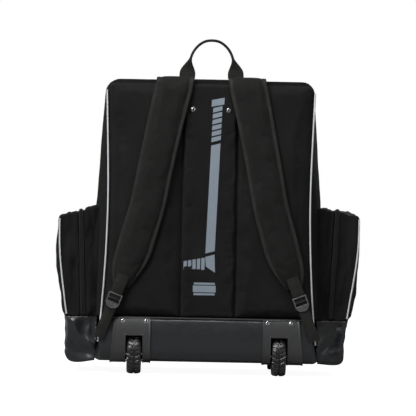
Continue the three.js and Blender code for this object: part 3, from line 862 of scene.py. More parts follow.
bm = bmesh.new()
for low, high, half in [(640, 656, 15), *[(z, z + 10.5, 11) for z in range(556, 634, 14)], (292, 548, 11)]:
    press_film(bm, [(stripe(low) - half, low - 3), (stripe(low) + half, low + 3),
                    (stripe(high) + half, high + 3), (stripe(high) - half, high - 3)], 6, 24)
heel = stripe(284)
press_film(bm, [(heel - 9, 258), (heel + 13, 244), (heel + 11, 287), (heel - 11, 281)], 6, 8)
for i in range(5):
    near, far = heel - 12 - 10.5 * i, heel - 20 - 10.5 * i
    low, high = 250 + 1.2 * i - 5 * (i / 5) ** 1.6, 278 - 2 * i
    press_film(bm, [(far, low), (near, low + 1), (near, high + 1), (far, high)])
for low, high, half in [(190, 195, 25), (197, 213, 27), (215, 220, 25)]:
    press_film(bm, [(-8 - half, low), (-8 + half, low), (-8 + half, high), (-8 - half, high)], 14, 4)
bm.normal_update()
turned = [f for f in bm.faces if f.normal.y > 0]
bmesh.ops.reverse_faces(bm, faces=turned)
make_piece("sleeve_print", bm, "bag", PRINT)

# %% [markdown]
# ## Lofted pieces
# Hard trim, webbing and straps are all rings of points joined one after another. A circle of edges is
# extruded ring by ring, and every new ring is moved into place, so any section can follow any line.

# %% Skin a row of rings
def lofted(rings, caps=(True, True), bm=None):
    bm = bm or bmesh.new()
    uv = bm.loops.layers.uv.get("cloth") or bm.loops.layers.uv.new("cloth")
    count = len(rings[0])
    first = bmesh.ops.create_circle(bm, segments=count, radius=1.0)["verts"]
    old_faces = set(bm.faces)
    rows, edges = [first], list({e for v in first for e in v.link_edges})
    for _ in rings[1:]:
        made = bmesh.ops.extrude_edge_only(bm, edges=edges)["geom"]
        fresh = {g for g in made if isinstance(g, bmesh.types.BMVert)}
        rows.append([next(e.other_vert(v) for e in v.link_edges if e.other_vert(v) in fresh)
                     for v in rows[-1]])
        edges = [g for g in made if isinstance(g, bmesh.types.BMEdge)
                 and g.verts[0] in fresh and g.verts[1] in fresh]
    where, reach = {}, 0.0
    for i, (row, ring) in enumerate(zip(rows, rings)):
        if i:
            reach += (Vector(ring[0]) - Vector(rings[i - 1][0])).length
        for j, (vert, spot) in enumerate(zip(row, ring)):
            vert.co = Vector(spot)
            where[vert] = (j, reach)
    ring = [Vector(p) for p in rings[len(rings) // 2]]
    steps = [(ring[(j + 1) % count] - ring[j]).length for j in range(count)]
    girth = [sum(steps[:j]) for j in range(count + 1)]
    for face in bm.faces:
        if face in old_faces:
            continue
        wraps = any(where[v][0] == count - 1 for v in face.verts)
        for loop in face.loops:
            j, along = where[loop.vert]
            loop[uv].uv = (girth[count] if wraps and j == 0 else girth[j], along)
    for want, row in zip(caps, (rows[0], rows[-1])):
        if want:
            cap = bm.faces.new(row if row is rows[-1] else row[::-1])
            for loop in cap.loops:
                loop[uv].uv = (loop.vert.co.x, loop.vert.co.z)
    bmesh.ops.recalc_face_normals(bm, faces=[f for f in bm.faces if f not in old_faces])
    return bm


def round_box(half_a, half_b, radius, a=0.0, b=0.0, corner=5):
    """A rectangle with round corners as a ring of points, counted from its low right corner."""
    made = []
    for ca, cb, start in ((1, -1, -90), (1, 1, 0), (-1, 1, 90), (-1, -1, 180)):
        for i in range(corner + 1):
            turn = math.radians(start + 90 * i / corner)
            made.append((a + ca * (half_a - radius) + radius * math.cos(turn),
                         b + cb * (half_b - radius) + radius * math.sin(turn)))
    return made


def stacked(levels, corner=5, centre=(0, 0)):
    """Rings in level planes: each level is (half x, half y, corner radius, z), in millimetres."""
    return [[Vector((x * MM, y * MM, z * MM)) for x, y in round_box(hx, hy, r, *centre, corner)]
            for hx, hy, r, z in levels]


# %% [markdown]
# ## Coated base
# The bag stands in a tray of tarpaulin: one sheet wrapped under the bag and up all four sides, bulging
# behind where the wheels sit. The grid follows the outline from the back seam under the bag to the front
# seam, and crosswise it starts in the middle of one flank, turns its edge, crosses the bag and ends in the
# other flank.

# %% Cloth wrapped round a box
def wrapped(line, inward, centre, half, rim, flank=0.3):
    """place(u, v) -> (outline point, depth): both ends are fanned in towards centre."""
    def place(u, v):
        share = 2 * min(v, 1 - v)
        spot = line.at(u)
        if share < flank:
            edge = spot + inward(u) * rim
            return edge.lerp(centre, 0.985 * (1 - share / flank)), math.copysign(half(edge), v - 0.5)
        if share < flank + 0.08:
            turn = (1 - (share - flank) / 0.08) * math.pi / 2
            edge = spot + inward(u) * rim * (1 - math.cos(turn))
            return edge, math.copysign(half(edge) - rim * (1 - math.sin(turn)), v - 0.5)
        depth = (half(spot) - rim) * (1 - (share - flank - 0.08) / (1 - flank - 0.08))
        return spot, math.copysign(depth, v - 0.5)
    return place


def arc(points, steps=8):
    """A cubic arc through its four control points, as a list of points."""
    a, b, c, d = (Vector(p) for p in points)
    return [a * (1 - t) ** 3 + b * 3 * t * (1 - t) ** 2 + c * 3 * t * t * (1 - t) + d * t ** 3
            for t in (i / steps for i in range(steps + 1))]


BASE_OUTLINE = [Vector((0, y * MM, z * MM)) for y, z in
                [(-184, 133), (-189, 132.2), *arc([(-192, 129.5), (-198, 115), (-203, 80), (-197, 54)]),
                 *arc([(-197, 54), (-192, 36), (-178, 30), (-155, 30)])[1:], (-60, 30), (60, 30), (176, 30),
                 *arc([(176, 30), (198, 30), (212, 44), (212, 66)])[1:], (212, 132)]]
base_line = Line(BASE_OUTLINE, 4)


def base_inward(u):
    """Square to the outline, but level near the top edge, so that the flanks end level too."""
    along, spot = base_line.along(u), base_line.at(u)
    level = Vector((0, -math.copysign(1, spot.y), 0))
    return Vector((0, -along.z, along.y)).lerp(level, smooth((spot.z - 0.09) / 0.03))


def base_back(z, offset=0.0):
    """How far back the base reaches at a height."""
    spots = [p for p in base_line.points if p.y < -0.15]
    for high, low in zip(spots, spots[1:]):
        if low.z <= z <= high.z:
            return mix(low.y, high.y, (z - low.z) / max(1e-9, high.z - low.z)) - offset
    return spots[0].y - offset


def base_half(p):
    over = clamp((p.y - (FRONT_Y - DOOR_ROUND)) / DOOR_ROUND)
    return half_width(p.y, p.z) - DOOR_ROUND * (1 - math.sqrt(1 - over ** 2))


base_wrap = wrapped(base_line, base_inward, Vector((0, 0.0, 0.1350)), base_half, 0.010)


def base_point(u, v):
    spot, x = base_wrap(u, v)
    return x, spot.y, spot.z


def base_folds(p):
    free = smooth((p.z - 0.033) / 0.02) * smooth((0.130 - p.z) / 0.015)
    back = smooth((-0.17 - p.y) / 0.015)
    deep = folds(p, 0.12, 0.0034, 41, (1, 1, 1.5)) * (1 - back) + folds(p, 0.22, 0.0016, 42) * back
    return deep * free + folds(p, 0.03, 0.0005, 43) * free


bm = laid_grid(150, 170, base_point, (0.62, 0.86))
face_away_from(bm, (0, 0, 0.12))
crumple(bm, base_folds)
WHEEL_X, WHEEL_Y, WHEEL_R = 0.172, -0.164, 0.048
WELL_HALF, WELL_FRONT = 0.0233, -0.1077
open_window(bm, lambda c: abs(abs(c.x) - WHEEL_X) < WELL_HALF and c.y < WELL_FRONT and c.z < 0.1045,
            [((s * WHEEL_X + e * WELL_HALF, 0, 0), (1, 0, 0)) for s in (-1, 1) for e in (-1, 1)]
            + [((0, WELL_FRONT, 0), (0, 1, 0)), ((0, 0, 0.1045), (0, 0, 1))])
tray = make_piece("base_tarpaulin", bm, "bag", [TARPAULIN, LINING], 50, "base_tray")
add_wall(tray, BAG_CLOTH, 1)
print("tray faces:", len(tray.data.polygons))

# %% [markdown]
# ## Side pockets
# A pocket is one wrapped skin too: its outline is seen from behind, and it runs from the near face to the
# far one. The skin is cut three ways, as the real one is sewn: a coated base, a fixed gusset beside the bag,
# and a lid that opens outwards from the base seam. The lid's edge is the zip line, which leans a little.

# %% Pocket outline and folds
POCKET_MID, POCKET_HALF = 0.005, 0.130
POCKET_SUNK = 0.0015           # how far a pocket's edge is sewn into the flank


def pocket_edge(z):
    return (331 + 31 * smooth((z / MM - 60) / 280)) * MM


def pocket_top(x):
    return (398 - (x / MM - 267) * 0.2) * MM


def zip_x(z):
    return (296 + 13 * (z / MM - 134) / 256) * MM


POCKET_OUTLINE = [Vector(p) * MM for p in
                  [(240, 0, 29), (275, 0, 29), (305, 0, 29), (320, 0, 31.5), (328.5, 0, 39.5), (331, 0, 54)]]
POCKET_OUTLINE += [Vector((pocket_edge(z * MM), 0, z * MM)) for z in (80, 120, 160, 200, 240, 280, 320, 350)]
POCKET_OUTLINE += [Vector(p) * MM for p in [(361.8, 0, 368.5), (358.5, 0, 377.5)]]
POCKET_OUTLINE += [Vector((x * MM, 0, pocket_top(x * MM))) for x in (350, 320, 290, 262, 240)]
pocket_line = Line(POCKET_OUTLINE, 8)


def pocket_inward(u):
    along = pocket_line.along(u)
    return Vector((-along.z, 0, along.x))


pocket_wrap = wrapped(pocket_line, pocket_inward, Vector((0.240, 0, 0.215)), lambda p: POCKET_HALF, 0.004,
                      0.42)


def pocket_point(u, v):
    spot, depth = pocket_wrap(u, v)
    z = spot.z
    share = clamp((spot.x - 0.300) / (pocket_edge(z) - 0.300))
    swell = 0.010 * math.sin(math.pi * clamp((z - 0.029) / 0.356))
    return spot.x + swell * (1 - abs(depth / POCKET_HALF) ** 2.5) * share, POCKET_MID + depth, z


def pocket_folds(p, seed):
    """Upright soft folds above the base seam, and big slanting creases in the stiff coated cloth below it."""
    seam = smooth(abs(p.z - BAND_Z) / 0.012)
    rim = smooth((pocket_edge(p.z) - p.x) / 0.025)
    calm = mix(0.12 + 0.5 * smooth((POCKET_HALF - 0.012 - abs(p.y - POCKET_MID)) / 0.05), 1.0, rim)
    cloth = folds(p, 0.042, 0.0105, 51 + seed, (1, 0.8, 0.26)) + folds(p, 0.02, 0.0022, 52 + seed, (1, 1, 0.4))
    slant = Vector((p.x * 0.8 + p.z * 0.75, p.y, p.z * 0.6 - p.x * 0.7))
    spot = Vector((slant.x * 8, slant.y * 6, slant.z * 21 + seed * 1.7 + 3.1))
    ridge = (noise.noise(spot) ** 2 + 0.0015) ** 0.325 + 0.3 * (noise.noise(spot * 2.3) ** 2 + 0.004) ** 0.325
    beside_bag = mix(0.4, 1.0, smooth((p.x - 0.258) / 0.024))
    coated = 0.028 * (0.45 - ridge) * mix(0.5, 1.0, rim) * beside_bag
    upper = smooth((p.z - BAND_Z) / 0.006)
    near_zip = smooth((abs(p.x - zip_x(p.z)) - 0.008) / 0.008) if p.z > BAND_Z else 1.0
    return mix(coated * smooth((p.z - 0.03) / 0.03), cloth * near_zip * calm, upper) * seam


def pocket_skin(seed):
    bm = laid_grid(150, 190, pocket_point, (0.66, 0.56))
    face_away_from(bm, (0.28, 0.005, 0.2))
    crumple(bm, lambda p: pocket_folds(p, seed))
    held = {v for v in bm.verts if v.co.x < half_width(v.co.y, v.co.z) - POCKET_SUNK}
    gone = [f for f in bm.faces if all(v in held for v in f.verts)]
    for vert in held:
        vert.co.x = half_width(vert.co.y, vert.co.z) - POCKET_SUNK
    bmesh.ops.delete(bm, geom=gone, context="FACES")
    return bm


# %% [markdown]
# The cloth beside a zip is folded under and top-stitched, which leaves a fine trough along each tape. The
# mesh is scored along the trough and the scored line is pushed in. A filled pocket also leans and sags: the
# left one hangs lower and fuller than the right one, and everything sewn to a pocket goes through the same
# lean.

# %% Troughs beside the zip, and the lean of each pocket
ZIP_LEAN = Vector((256, 0, -13)).normalized()
ZIP_FOOT = Vector((0.296, 0, 0.134))
TROUGH, TROUGH_HALF, TROUGH_DEEP = 7.0 * MM, 2.0 * MM, 4.5 * MM


def press_troughs(bm, side, foot, lean):
    """A narrow trough at TROUGH metres from the seam, on one side of it."""
    for step in (-TROUGH_HALF, 0.0, TROUGH_HALF):
        score(bm, foot + lean * (side * TROUGH + step), lean)
    bm.normal_update()
    line = [v for v in bm.verts if abs((v.co - foot).dot(lean) - side * TROUGH) < 1e-5]
    for vert, normal in [(v, v.normal.copy()) for v in line]:
        vert.co -= normal * TROUGH_DEEP
    bm.normal_update()


def lean_pocket(bm, left):
    """Shift the low and the high part sideways, lift the top and let the bottom sag, all in millimetres."""
    low, high, up, sag = (5.0, -5.0, -6.0, 7.0) if left else (0.0, 0.0, 4.5, 3.0)
    for vert in bm.verts:
        x, z = vert.co.x, vert.co.z
        lean = low * smooth((0.122 - z) / 0.05) + high * smooth((z - 0.15) / 0.2)
        vert.co.x += lean * MM * clamp((x - 0.270) / 0.06)
        vert.co.z += up * MM * smooth((z - 0.28) / 0.10) * clamp((x - 0.255) / 0.05)
        vert.co.z -= sag * MM * smooth((0.105 - z) / 0.07) * smooth((x - 0.25) / 0.06)
    return bm


for side, left in SIDES:
    seed = 20 if left else 0
    base, gusset, lid = pocket_skin(seed), pocket_skin(seed), pocket_skin(seed)
    cut(base, (0, 0, BAND_Z - 0.0002), (0, 0, 1))
    cut(gusset, (0, 0, BAND_Z + 0.0002), (0, 0, -1))
    cut(gusset, ZIP_FOOT - ZIP_LEAN * 0.0006, ZIP_LEAN)
    cut(lid, (0, 0, BAND_Z + 0.0015), (0, 0, -1))
    cut(lid, ZIP_FOOT + ZIP_LEAN * 0.0006, -ZIP_LEAN)
    press_troughs(gusset, -1, ZIP_FOOT, ZIP_LEAN)
    press_troughs(lid, 1, ZIP_FOOT, ZIP_LEAN)
    for name, skin, body, cloth, node in (
            ("pocket_base_cloth", base, "bag", TARPAULIN, "pocket_base"),
            ("pocket_gusset_cloth", gusset, "bag", POLYESTER, "pocket_gusset"),
            ("pocket_lid_cloth", lid, f"pocket_lid_{side}", POLYESTER, "pocket_cover")):
        piece = make_piece(f"{name}_{side}", lean_pocket(skin, left), body, [cloth, LINING], 50,
                           f"{node}_{side}", left)
        add_wall(piece, POCKET_CLOTH, 1)
print("pocket line:", round(pocket_line.length, 3), "m")

# %% [markdown]
# ## Shoulder straps
# A strap is a long foam pad in cloth, with tape bound round its edge. Its line bends over the top edge of
# the bag and drifts outwards on the way down. Rings of points follow that line: full in the middle, thin at
# the bound edge, and drawn in towards the buckle at the lower end.

# %% Strap line and section
STRAP_LINE = Line([Vector(p) * MM for p in
                   [(85, -184, 704), (86, -194, 698), (88, -199, 684), (96, -199.5, 650), (111, -201, 580),
                    (128, -202.5, 495), (145, -203, 405), (160, -202.5, 350), (174, -201.5, 300),
                    (187, -200.5, 250), (196, -199.5, 208)]])
STRAP_HALF = 0.0415
BOUND = 0.79                  # share of the half width where the tape starts


def strap_frame(t):
    """Centre, direction across, direction outwards, half widths towards the sleeve and the flank."""
    centre, along = STRAP_LINE.at(t), STRAP_LINE.along(t)
    across = Vector((-along.z, 0, along.x))
    across = Vector((1, 0, 0)) if t < 0.05 or across.length < 0.2 else across.normalized()
    outwards = along.cross(across).normalized()
    tip = clamp((t - 0.80) / 0.2)
    top = 0.06 * smooth((0.4 - t) / 0.4)
    inner = STRAP_HALF * (1 + top - 0.80 * tip ** 1.9)
    outer = STRAP_HALF * (1 + top - 0.34 * clamp((t - 0.88) / 0.12) ** 2.2)
    return centre, across, outwards, inner, outer


def strap_height(a, t):
    """Half thickness at a share across."""
    body = smooth((BOUND - abs(a)) / 0.16)
    start, end = smooth(t / 0.07), smooth((1 - t) / 0.05)
    return (2.1 + 5.0 * body * mix(0.25, 1, start) * mix(0.2, 1, end) + 0.9 * body * (1 - a * a)) * MM


def strap_spot(a, height, t):
    centre, across, outwards, inner, outer = strap_frame(t)
    return centre + across * a * (outer if a > 0 else inner) + outwards * height


def strap_ring(t):
    made = []
    across = [1 - 2 * i / 26 for i in range(27)]
    for a in across:
        ripple = folds(strap_spot(a, 0, t), 0.05, 0.0011, 61, (1, 1, 0.6)) * smooth((BOUND - abs(a)) / 0.2)
        made.append(strap_spot(a * 0.985, strap_height(a, t) + ripple, t))
    for a in across[::-1]:
        made.append(strap_spot(a * 0.985, -strap_height(a, t) * 0.8, t))
    return made


def binding_ring(t, side):
    """Tape folded round one edge of the strap: out over the front, round the edge, and back underneath."""
    made = []
    for a, lift in [(0.80, 0.4), (0.83, 0.8), (0.88, 0.6), (0.94, 0.6), (0.98, 0.5), (1.01, 0.1)]:
        made.append((a, strap_height(a, t) * (1 if a < 1 else 0.5) + lift * MM))
    shape = made + [(a, -h * 0.85) for a, h in made[::-1]]
    return [strap_spot(a * side, h, t) for a, h in (shape if side > 0 else shape[::-1])]


def spread(count):
    """Shares along a strap, closer together at both ends."""
    return [(1 - math.cos(math.pi * i / count)) / 2 * 0.5 + i / count * 0.5 for i in range(count + 1)]


def strap_share(p):
    """The nearest share along the strap, and how far across it a point lies (1 at the edge)."""
    t = min((i / 60 for i in range(61)), key=lambda s: (STRAP_LINE.at(s) - p).length_squared)
    centre, across, _, inner, outer = strap_frame(t)
    a = (p - centre).dot(across)
    return t, abs(a) / (outer if a > 0 else inner)


def strap_seam(p):
    t, a = strap_share(p)
    return a > BOUND - 0.03 or t < 0.03 or t > 0.96


for side, left in SIDES:
    padding = settle(lofted([strap_ring(t) for t in spread(130)]), strap_seam, 3.0, 0.0025, 0.006)
    strap = make_piece(f"strap_pad_{side}", padding, "bag", STRAP_CLOTH, 60, f"shoulder_strap_{side}",
                       left)
    bm = bmesh.new()
    for edge in (1, -1):
        lofted([binding_ring(t, edge) for t in spread(110)], bm=bm)
    make_piece(f"strap_binding_{side}", bm, "bag", BINDING, 60, mirror=left)
print("strap length:", round(STRAP_LINE.length, 3), "m")

# %% [markdown]
# ## Webbing, buckles and the carry loop
# Webbing is a thin band with soft edges. A flat piece is lofted from small rounded rings; the tab on the
# strap is doubled and sewn down with a box of stitches, and the tail ends in a hem that is two layers thick.

# %% Flat webbing
TO_HARNESS = (0, -1, 0)


def band_ring(centre, across, outwards, half, thick):
    return [centre + across * x + outwards * y for x, y in round_box(half, thick / 2, thick * 0.49, corner=2)]


def web_strip(points, half, thick, steps=24, bm=None):
    line = Line(points)
    rings = []
    for i in range(steps + 1):
        t = i / steps
        across = line.along(t).cross(Vector(TO_HARNESS)).normalized()
        rings.append(band_ring(line.at(t), across, across.cross(line.along(t)).normalized(), half, thick))
    return lofted(rings, bm=bm)


TAB_TOP, TAB_END = Vector((0.199, -0.2094, 0.236)), Vector((0.2155, -0.2086, 0.1935))
LOCK_AT = Vector((0.221, -0.207, 0.178))
LOCK_TURN = Matrix.Rotation(math.radians(-21), 4, "Y")
WEB_HALF = 0.0125

for side, left in SIDES:
    bm = web_strip([TAB_TOP, TAB_TOP.lerp(TAB_END, 0.5) + Vector((0, -0.0003, 0)), TAB_END,
                    TAB_END + Vector((0.0012, 0.0022, -0.0035))], WEB_HALF + 0.0022, 1.9 * MM)
    down = (TAB_END - TAB_TOP).normalized()
    over = down.cross(Vector((0, 1, 0))).normalized()
    top, low = TAB_TOP + down * 0.0035, TAB_TOP + down * 0.0205
    corners = [end + over * across * 0.01 for end, across in ((top, -1), (top, 1), (low, 1), (low, -1))]
    make_piece(f"strap_tab_web_{side}", bm, "bag", WEBBING, 50, f"strap_tab_{side}", left)
    bm = bmesh.new()
    for a, b in [(0, 1), (1, 2), (2, 3), (3, 0), (0, 2), (1, 3)]:
        lift = Vector((0, -0.0012, 0))
        sew(bm, Line([corners[a] + lift, corners[b] + lift], 4), TO_HARNESS)
    make_piece(f"tab_stitches_{side}", bm, "bag", THREAD, mirror=left)

TAIL = [Vector(p) * MM for p in [(223, -205.5, 171), (228, -206.5, 160), (236, -206.2, 139),
                                 (246, -205.2, 114), (257, -204.4, 87)]]
ANCHOR = [Vector(p) * MM for p in [(224, -203.4, 170), (231, -202.5, 150), (237, -199.0, 138),
                                   (240, -195, 132)]]
for side, left in SIDES:
    bm = web_strip(TAIL, WEB_HALF, 1.7 * MM, steps=40)
    hem = [p + Vector((0, -0.0015, 0)) for p in (TAIL[-1].lerp(TAIL[-2], 0.62), TAIL[-1])]
    web_strip(hem, WEB_HALF, 1.5 * MM, steps=10, bm=bm)
    web_strip(ANCHOR, WEB_HALF, 1.6 * MM, steps=16, bm=bm)
    make_piece(f"adjusting_webbing_{side}", bm, "bag", WEBBING, 50, f"adjusting_web_{side}", left)

# %% [markdown]
# The ladder lock has two rails, three rungs and a thumb tab that lifts to slacken the strap. Each rung is a
# rounded bar; the webbing is threaded over the middle one. The tab is half a disc with a thick rim.

# %% Ladder locks
def rounded_bar(bm, centre, size, bevel, segments=3):
    """A bar in millimetres with soft edges."""
    made = bmesh.ops.create_cube(bm, size=1.0, matrix=Matrix.Translation(Vector(centre) * MM)
                                 @ Matrix.Diagonal((*(s * MM for s in size), 1)))["verts"]
    edges = list({e for v in made for e in v.link_edges})
    bmesh.ops.bevel(bm, geom=edges, offset=bevel * MM, segments=segments, profile=0.5, affect="EDGES",
                    material=-1)


def ladder_lock():
    bm = bmesh.new()
    for x in (-15.4, 15.4):
        rounded_bar(bm, (x, 0, 0.5), (3.4, 5.6, 27.0), 1.2)
    for z, deep, high in ((12.2, 5.4, 3.6), (0.6, 4.2, 3.4), (-9.6, 5.0, 3.6)):
        rounded_bar(bm, (0, 0, z), (31, deep, high), 1.1)
    turns = [math.pi + math.pi * i / 20 for i in range(21)]
    lofted([[Vector((15.6 * k * math.cos(a), y, 12.5 * k * math.sin(a) - 10.5)) * MM for a in turns]
            for k, y in ((0.9, -0.6), (1.0, -1.0), (1.0, -2.8), (0.93, -3.4), (0.80, -3.2), (0.76, -2.7))],
           bm=bm)
    bm.transform(Matrix.Translation(LOCK_AT) @ LOCK_TURN)
    return bm


def threaded_web():
    """The ribbed stretch of webbing that shows between the rungs."""
    bm = bmesh.new()
    for z in (6.4, -4.6):
        rounded_bar(bm, (0, 0.9, z), (25, 1.6, 8.2), 0.7)
    rounded_bar(bm, (0, -1.2, 0.6), (25, 3.6, 5.2), 1.4)
    bm.loops.layers.uv.new("cloth")
    for face in bm.faces:
        for loop in face.loops:
            loop[bm.loops.layers.uv["cloth"]].uv = (loop.vert.co.x, loop.vert.co.z * 1.6)
    bm.transform(Matrix.Translation(LOCK_AT) @ LOCK_TURN)
    return bm


for side, left in SIDES:
    make_piece(f"buckle_{side}", ladder_lock(), "bag", BUCKLE, 35, f"ladder_lock_{side}", left)
    make_piece(f"buckle_webbing_{side}", threaded_web(), "bag", WEBBING, 35, mirror=left)

# %% [markdown]
# The carry loop is one length of webbing. Its legs lie flat against the top edge, and towards the grip the
# webbing is folded in half lengthwise, so that from behind it is seen edge on.

# %% Carry loop
LOOP_LINE = Line([Vector((x * MM, -0.176, z * MM)) for x, z in
                  [(-58, 703.5), (-56.5, 722), (-52, 745), (-44, 767), (-30, 784), (-12, 793.5), (12, 793.5),
                   (30, 784), (44, 767), (52, 745), (56.5, 722), (58, 703.5)]])


def loop_ring(t):
    along = LOOP_LINE.along(t)
    across = Vector((0, 1, 0)).cross(along).normalized()
    fold = smooth((min(t, 1 - t) - 0.05) / 0.165)
    if t in (0.0, 1.0):
        across = Vector((math.copysign(1, across.x), 0, 0))
    half, deep = mix(18.8, 3.1, fold) * MM, mix(1.2, 9.2, fold ** 1.5) * MM
    made = []
    for i in range(28):
        a = 2 * math.pi * i / 28
        x, y = math.cos(a), math.sin(a)
        power = mix(0.35, 0.7, fold)
        pinch = 1 - 0.35 * fold * (1 - abs(x)) * (y > 0)
        made.append(LOOP_LINE.at(t) + across * half * math.copysign(abs(x) ** power, x)
                    + Vector((0, deep * math.copysign(abs(y) ** power, y) * pinch, 0)))
    return made


loop_rings = [loop_ring(i / 120) for i in range(121)]
make_piece("carry_loop_webbing", lofted(loop_rings), "bag", WEBBING, 50, "carry_loop")
bm = bmesh.new()
for end in (-57.5, 57.5):
    sew(bm, Line([Vector((end + across, -177.6, 716.5)) * MM for across in (-15.5, 15.5)], 4), TO_HARNESS)
make_piece("loop_stitches", bm, "bag", THREAD)
print("loop length:", round(LOOP_LINE.length, 3), "m")

# %% [markdown]
# ## Piping
# Light reflective piping is sewn into the harness panel's edge and round each pocket's near edge.

# %% Piping along the seams
def harness_pipe():
    beside_base = [(z * MM, base_back(z * MM, -0.006)) for z in (76, 84, 95, 108, 120)]
    beside_pad = [(z * MM, PAD_Y + 0.006) for z in (150, 200, 270, 340, 410, 480, 550, 610, 655, 673)]
    return Line([Vector((panel_half(z) + 0.003, y, z)) for z, y in beside_base + beside_pad], 8)


for side, left in SIDES:
    bm = cord_mesh(harness_pipe().points, 2.0 * MM, 12)
    make_piece(f"harness_piping_cord_{side}", bm, "bag", PIPING, 60, f"harness_piping_{side}", left)
    edge = Line([Vector((pocket_edge(z * MM) - 0.0015, -0.1279, z * MM))
                 for z in (138, 180, 220, 260, 300, 340, 372)], 8)
    bm = lean_pocket(cord_mesh(edge.points, 1.9 * MM, 12), left)
    make_piece(f"pocket_piping_cord_{side}", bm, f"pocket_lid_{side}", PIPING, 60, f"pocket_piping_{side}",
               left)

# %% [markdown]
# The coated base is sewn to the padded back with the same kind of cord, covered in black.

# %% Cord between back and base
def seam_spot(share):
    wave = folds(Vector((share * 0.48, 0, 0)), 0.06, 0.0006, 71)
    return Vector((mix(-0.234, 0.234, share), wave - 0.1905, 0.1336))


seam_row = [seam_spot(i / 60) for i in range(61)]
make_piece("base_seam_cord", cord_mesh(seam_row, 2.9 * MM, 12), "bag", THREAD, 60)

# %% [markdown]
# Everything that is folded under is top-stitched. The rows follow the zip on both sides of the door, the
# edge of the sleeve and both edges of each strap, and a covered cord frames the door's face.

# %% Rows of stitches and the door's cord
def hoop_line(v, out, low=0.03, count=90):
    """A line round the bag at one depth of its skin, raised off the cloth by out metres."""
    made = []
    for i in range(count + 1):
        u = mix(low, 1 - low, i / count)
        spot = Vector(bag_point(u, v))
        along = Vector(bag_point(u + 0.004, v)) - Vector(bag_point(u - 0.004, v))
        back = Vector(bag_point(u, v - 0.01)) - Vector(bag_point(u, v + 0.01))
        face = along.cross(back).normalized()
        face = -face if face.dot(spot - Vector((0, 0.02, 0.4))) < 0 else face
        made.append(spot + face * (out + bag_folds(spot)))
    return Line(made, 2)


def face_out(p):
    return (p - Vector((0, p.y, min(p.z, 0.62)))).normalized()


def depth_share(y):
    """The share of the hoop's grid that lies at a depth of the flank."""
    return BACK_END + (FLANK_END - BACK_END) * (y - BACK_Y) / (FRONT_Y - DOOR_ROUND - BACK_Y)


for name, body, beside in (("shell_zip_stitches", "bag", -0.009), ("door_zip_stitches", "door", 0.009)):
    bm = bmesh.new()
    sew(bm, hoop_line(depth_share(ZIP_Y + beside), 0.0002, 0.006), face_out)
    make_piece(name, bm, body, THREAD)
cord = cord_mesh(hoop_line(0.635, 0.0004, 0.012).points, 1.9 * MM, 10)
make_piece("door_face_cord", cord, "door", HARD_BLACK, 60)

for side, left in SIDES:
    bm = bmesh.new()
    for edge in (0.74, -0.74):
        row = [strap_spot(edge, strap_height(edge, t) + 0.0004, t) for t in spread(60)[2:-2]]
        sew(bm, Line(row, 2), TO_HARNESS)
    make_piece(f"strap_stitches_{side}", bm, "bag", THREAD, mirror=left)
    bm = bmesh.new()
    inner = SLEEVE_HALF - 0.0075
    row = [Vector((inner, sleeve_front(inner, z) + 0.0002, z)) for z in (0.145, 0.28, 0.41, 0.54, 0.683)]
    sew(bm, Line(row, 8), TO_HARNESS)
    make_piece(f"sleeve_stitches_{side}", bm, "bag", THREAD, mirror=left)

# %% [markdown]
# ## Wheels and their housings
# A moulded plate follows the bulge of the base and holds the axle. The wheel turns in a slot in it, and
# behind the slot a well keeps dirt out of the bag. The plate has a raised lip along its rim and round the
# slot.

# %% Wheel housings
PLATE_TOP, PLATE_INNER, PLATE_LIFT = 0.134, 0.133, 3.4 * MM
SLOT_TOP, SLOT_HALF, SLOT_FRONT = 0.092, 0.020, -0.111
PLATE_LINE = Line([Vector((0, -0.1925, 0.136)), *[p for p in BASE_OUTLINE[1:] if p.y < -0.09],
                   Vector((0, -0.096, 0.030))], 6)


def plate_right(z):
    return mix(0.232, 0.2195, clamp((z - 0.010) / 0.118))


def plate_point(u, v):
    spot, along = PLATE_LINE.at(v), PLATE_LINE.along(v)
    over = clamp((spot.z - (PLATE_TOP - 0.008)) / 0.008) if v < 0.5 else 0.0
    corner = 0.008 * (1 - math.sqrt(max(0.0, 1 - over ** 2)))
    x = mix(PLATE_INNER + corner, plate_right(spot.z) - corner, u)
    z = min(spot.z, PLATE_TOP)
    edge = min(x - PLATE_INNER, plate_right(z) - x, abs(PLATE_TOP - z) + (0.05 if v > 0.5 else 0))
    beside = abs(x - WHEEL_X)
    over_slot = abs(z - SLOT_TOP) + (beside > SLOT_HALF + 0.002)
    slot = abs(beside - SLOT_HALF) if z < SLOT_TOP + 0.003 else over_slot
    lip = 1.1 * MM * smooth((4.0 * MM - edge) / (2 * MM)) + 0.9 * MM * smooth((3.2 * MM - slot) / (1.6 * MM))
    out = Vector((0, along.z, -along.y)) * (PLATE_LIFT + lip)
    return x, spot.y + out.y, min(z + out.z, PLATE_TOP + 0.002)


def wheel_housing():
    bm = laid_grid(66, 118, plate_point, (0.095, 0.18))
    open_window(bm, lambda c: abs(c.x - WHEEL_X) < SLOT_HALF and c.z < SLOT_TOP and c.y < SLOT_FRONT,
                [((WHEEL_X + e * SLOT_HALF, 0, 0), (1, 0, 0)) for e in (-1, 1)]
                + [((0, 0, SLOT_TOP), (0, 0, 1)), ((0, SLOT_FRONT, 0), (0, 1, 0))])
    face_away_from(bm, (WHEEL_X, -0.1, 0.1))
    middle = Matrix.Translation((WHEEL_X, SLOT_FRONT - 0.0395, 0.0655))
    size = Matrix.Diagonal((2 * SLOT_HALF, 0.079, 0.071, 1))
    well = bmesh.ops.create_cube(bm, size=1.0, matrix=middle @ size)["verts"]
    sides = {f for v in well for f in v.link_faces}
    bmesh.ops.delete(bm, geom=[f for f in sides if f.normal.y < -0.9 or f.normal.z < -0.9], context="FACES")
    bmesh.ops.reverse_faces(bm, faces=[f for f in sides if f.is_valid])
    return bm


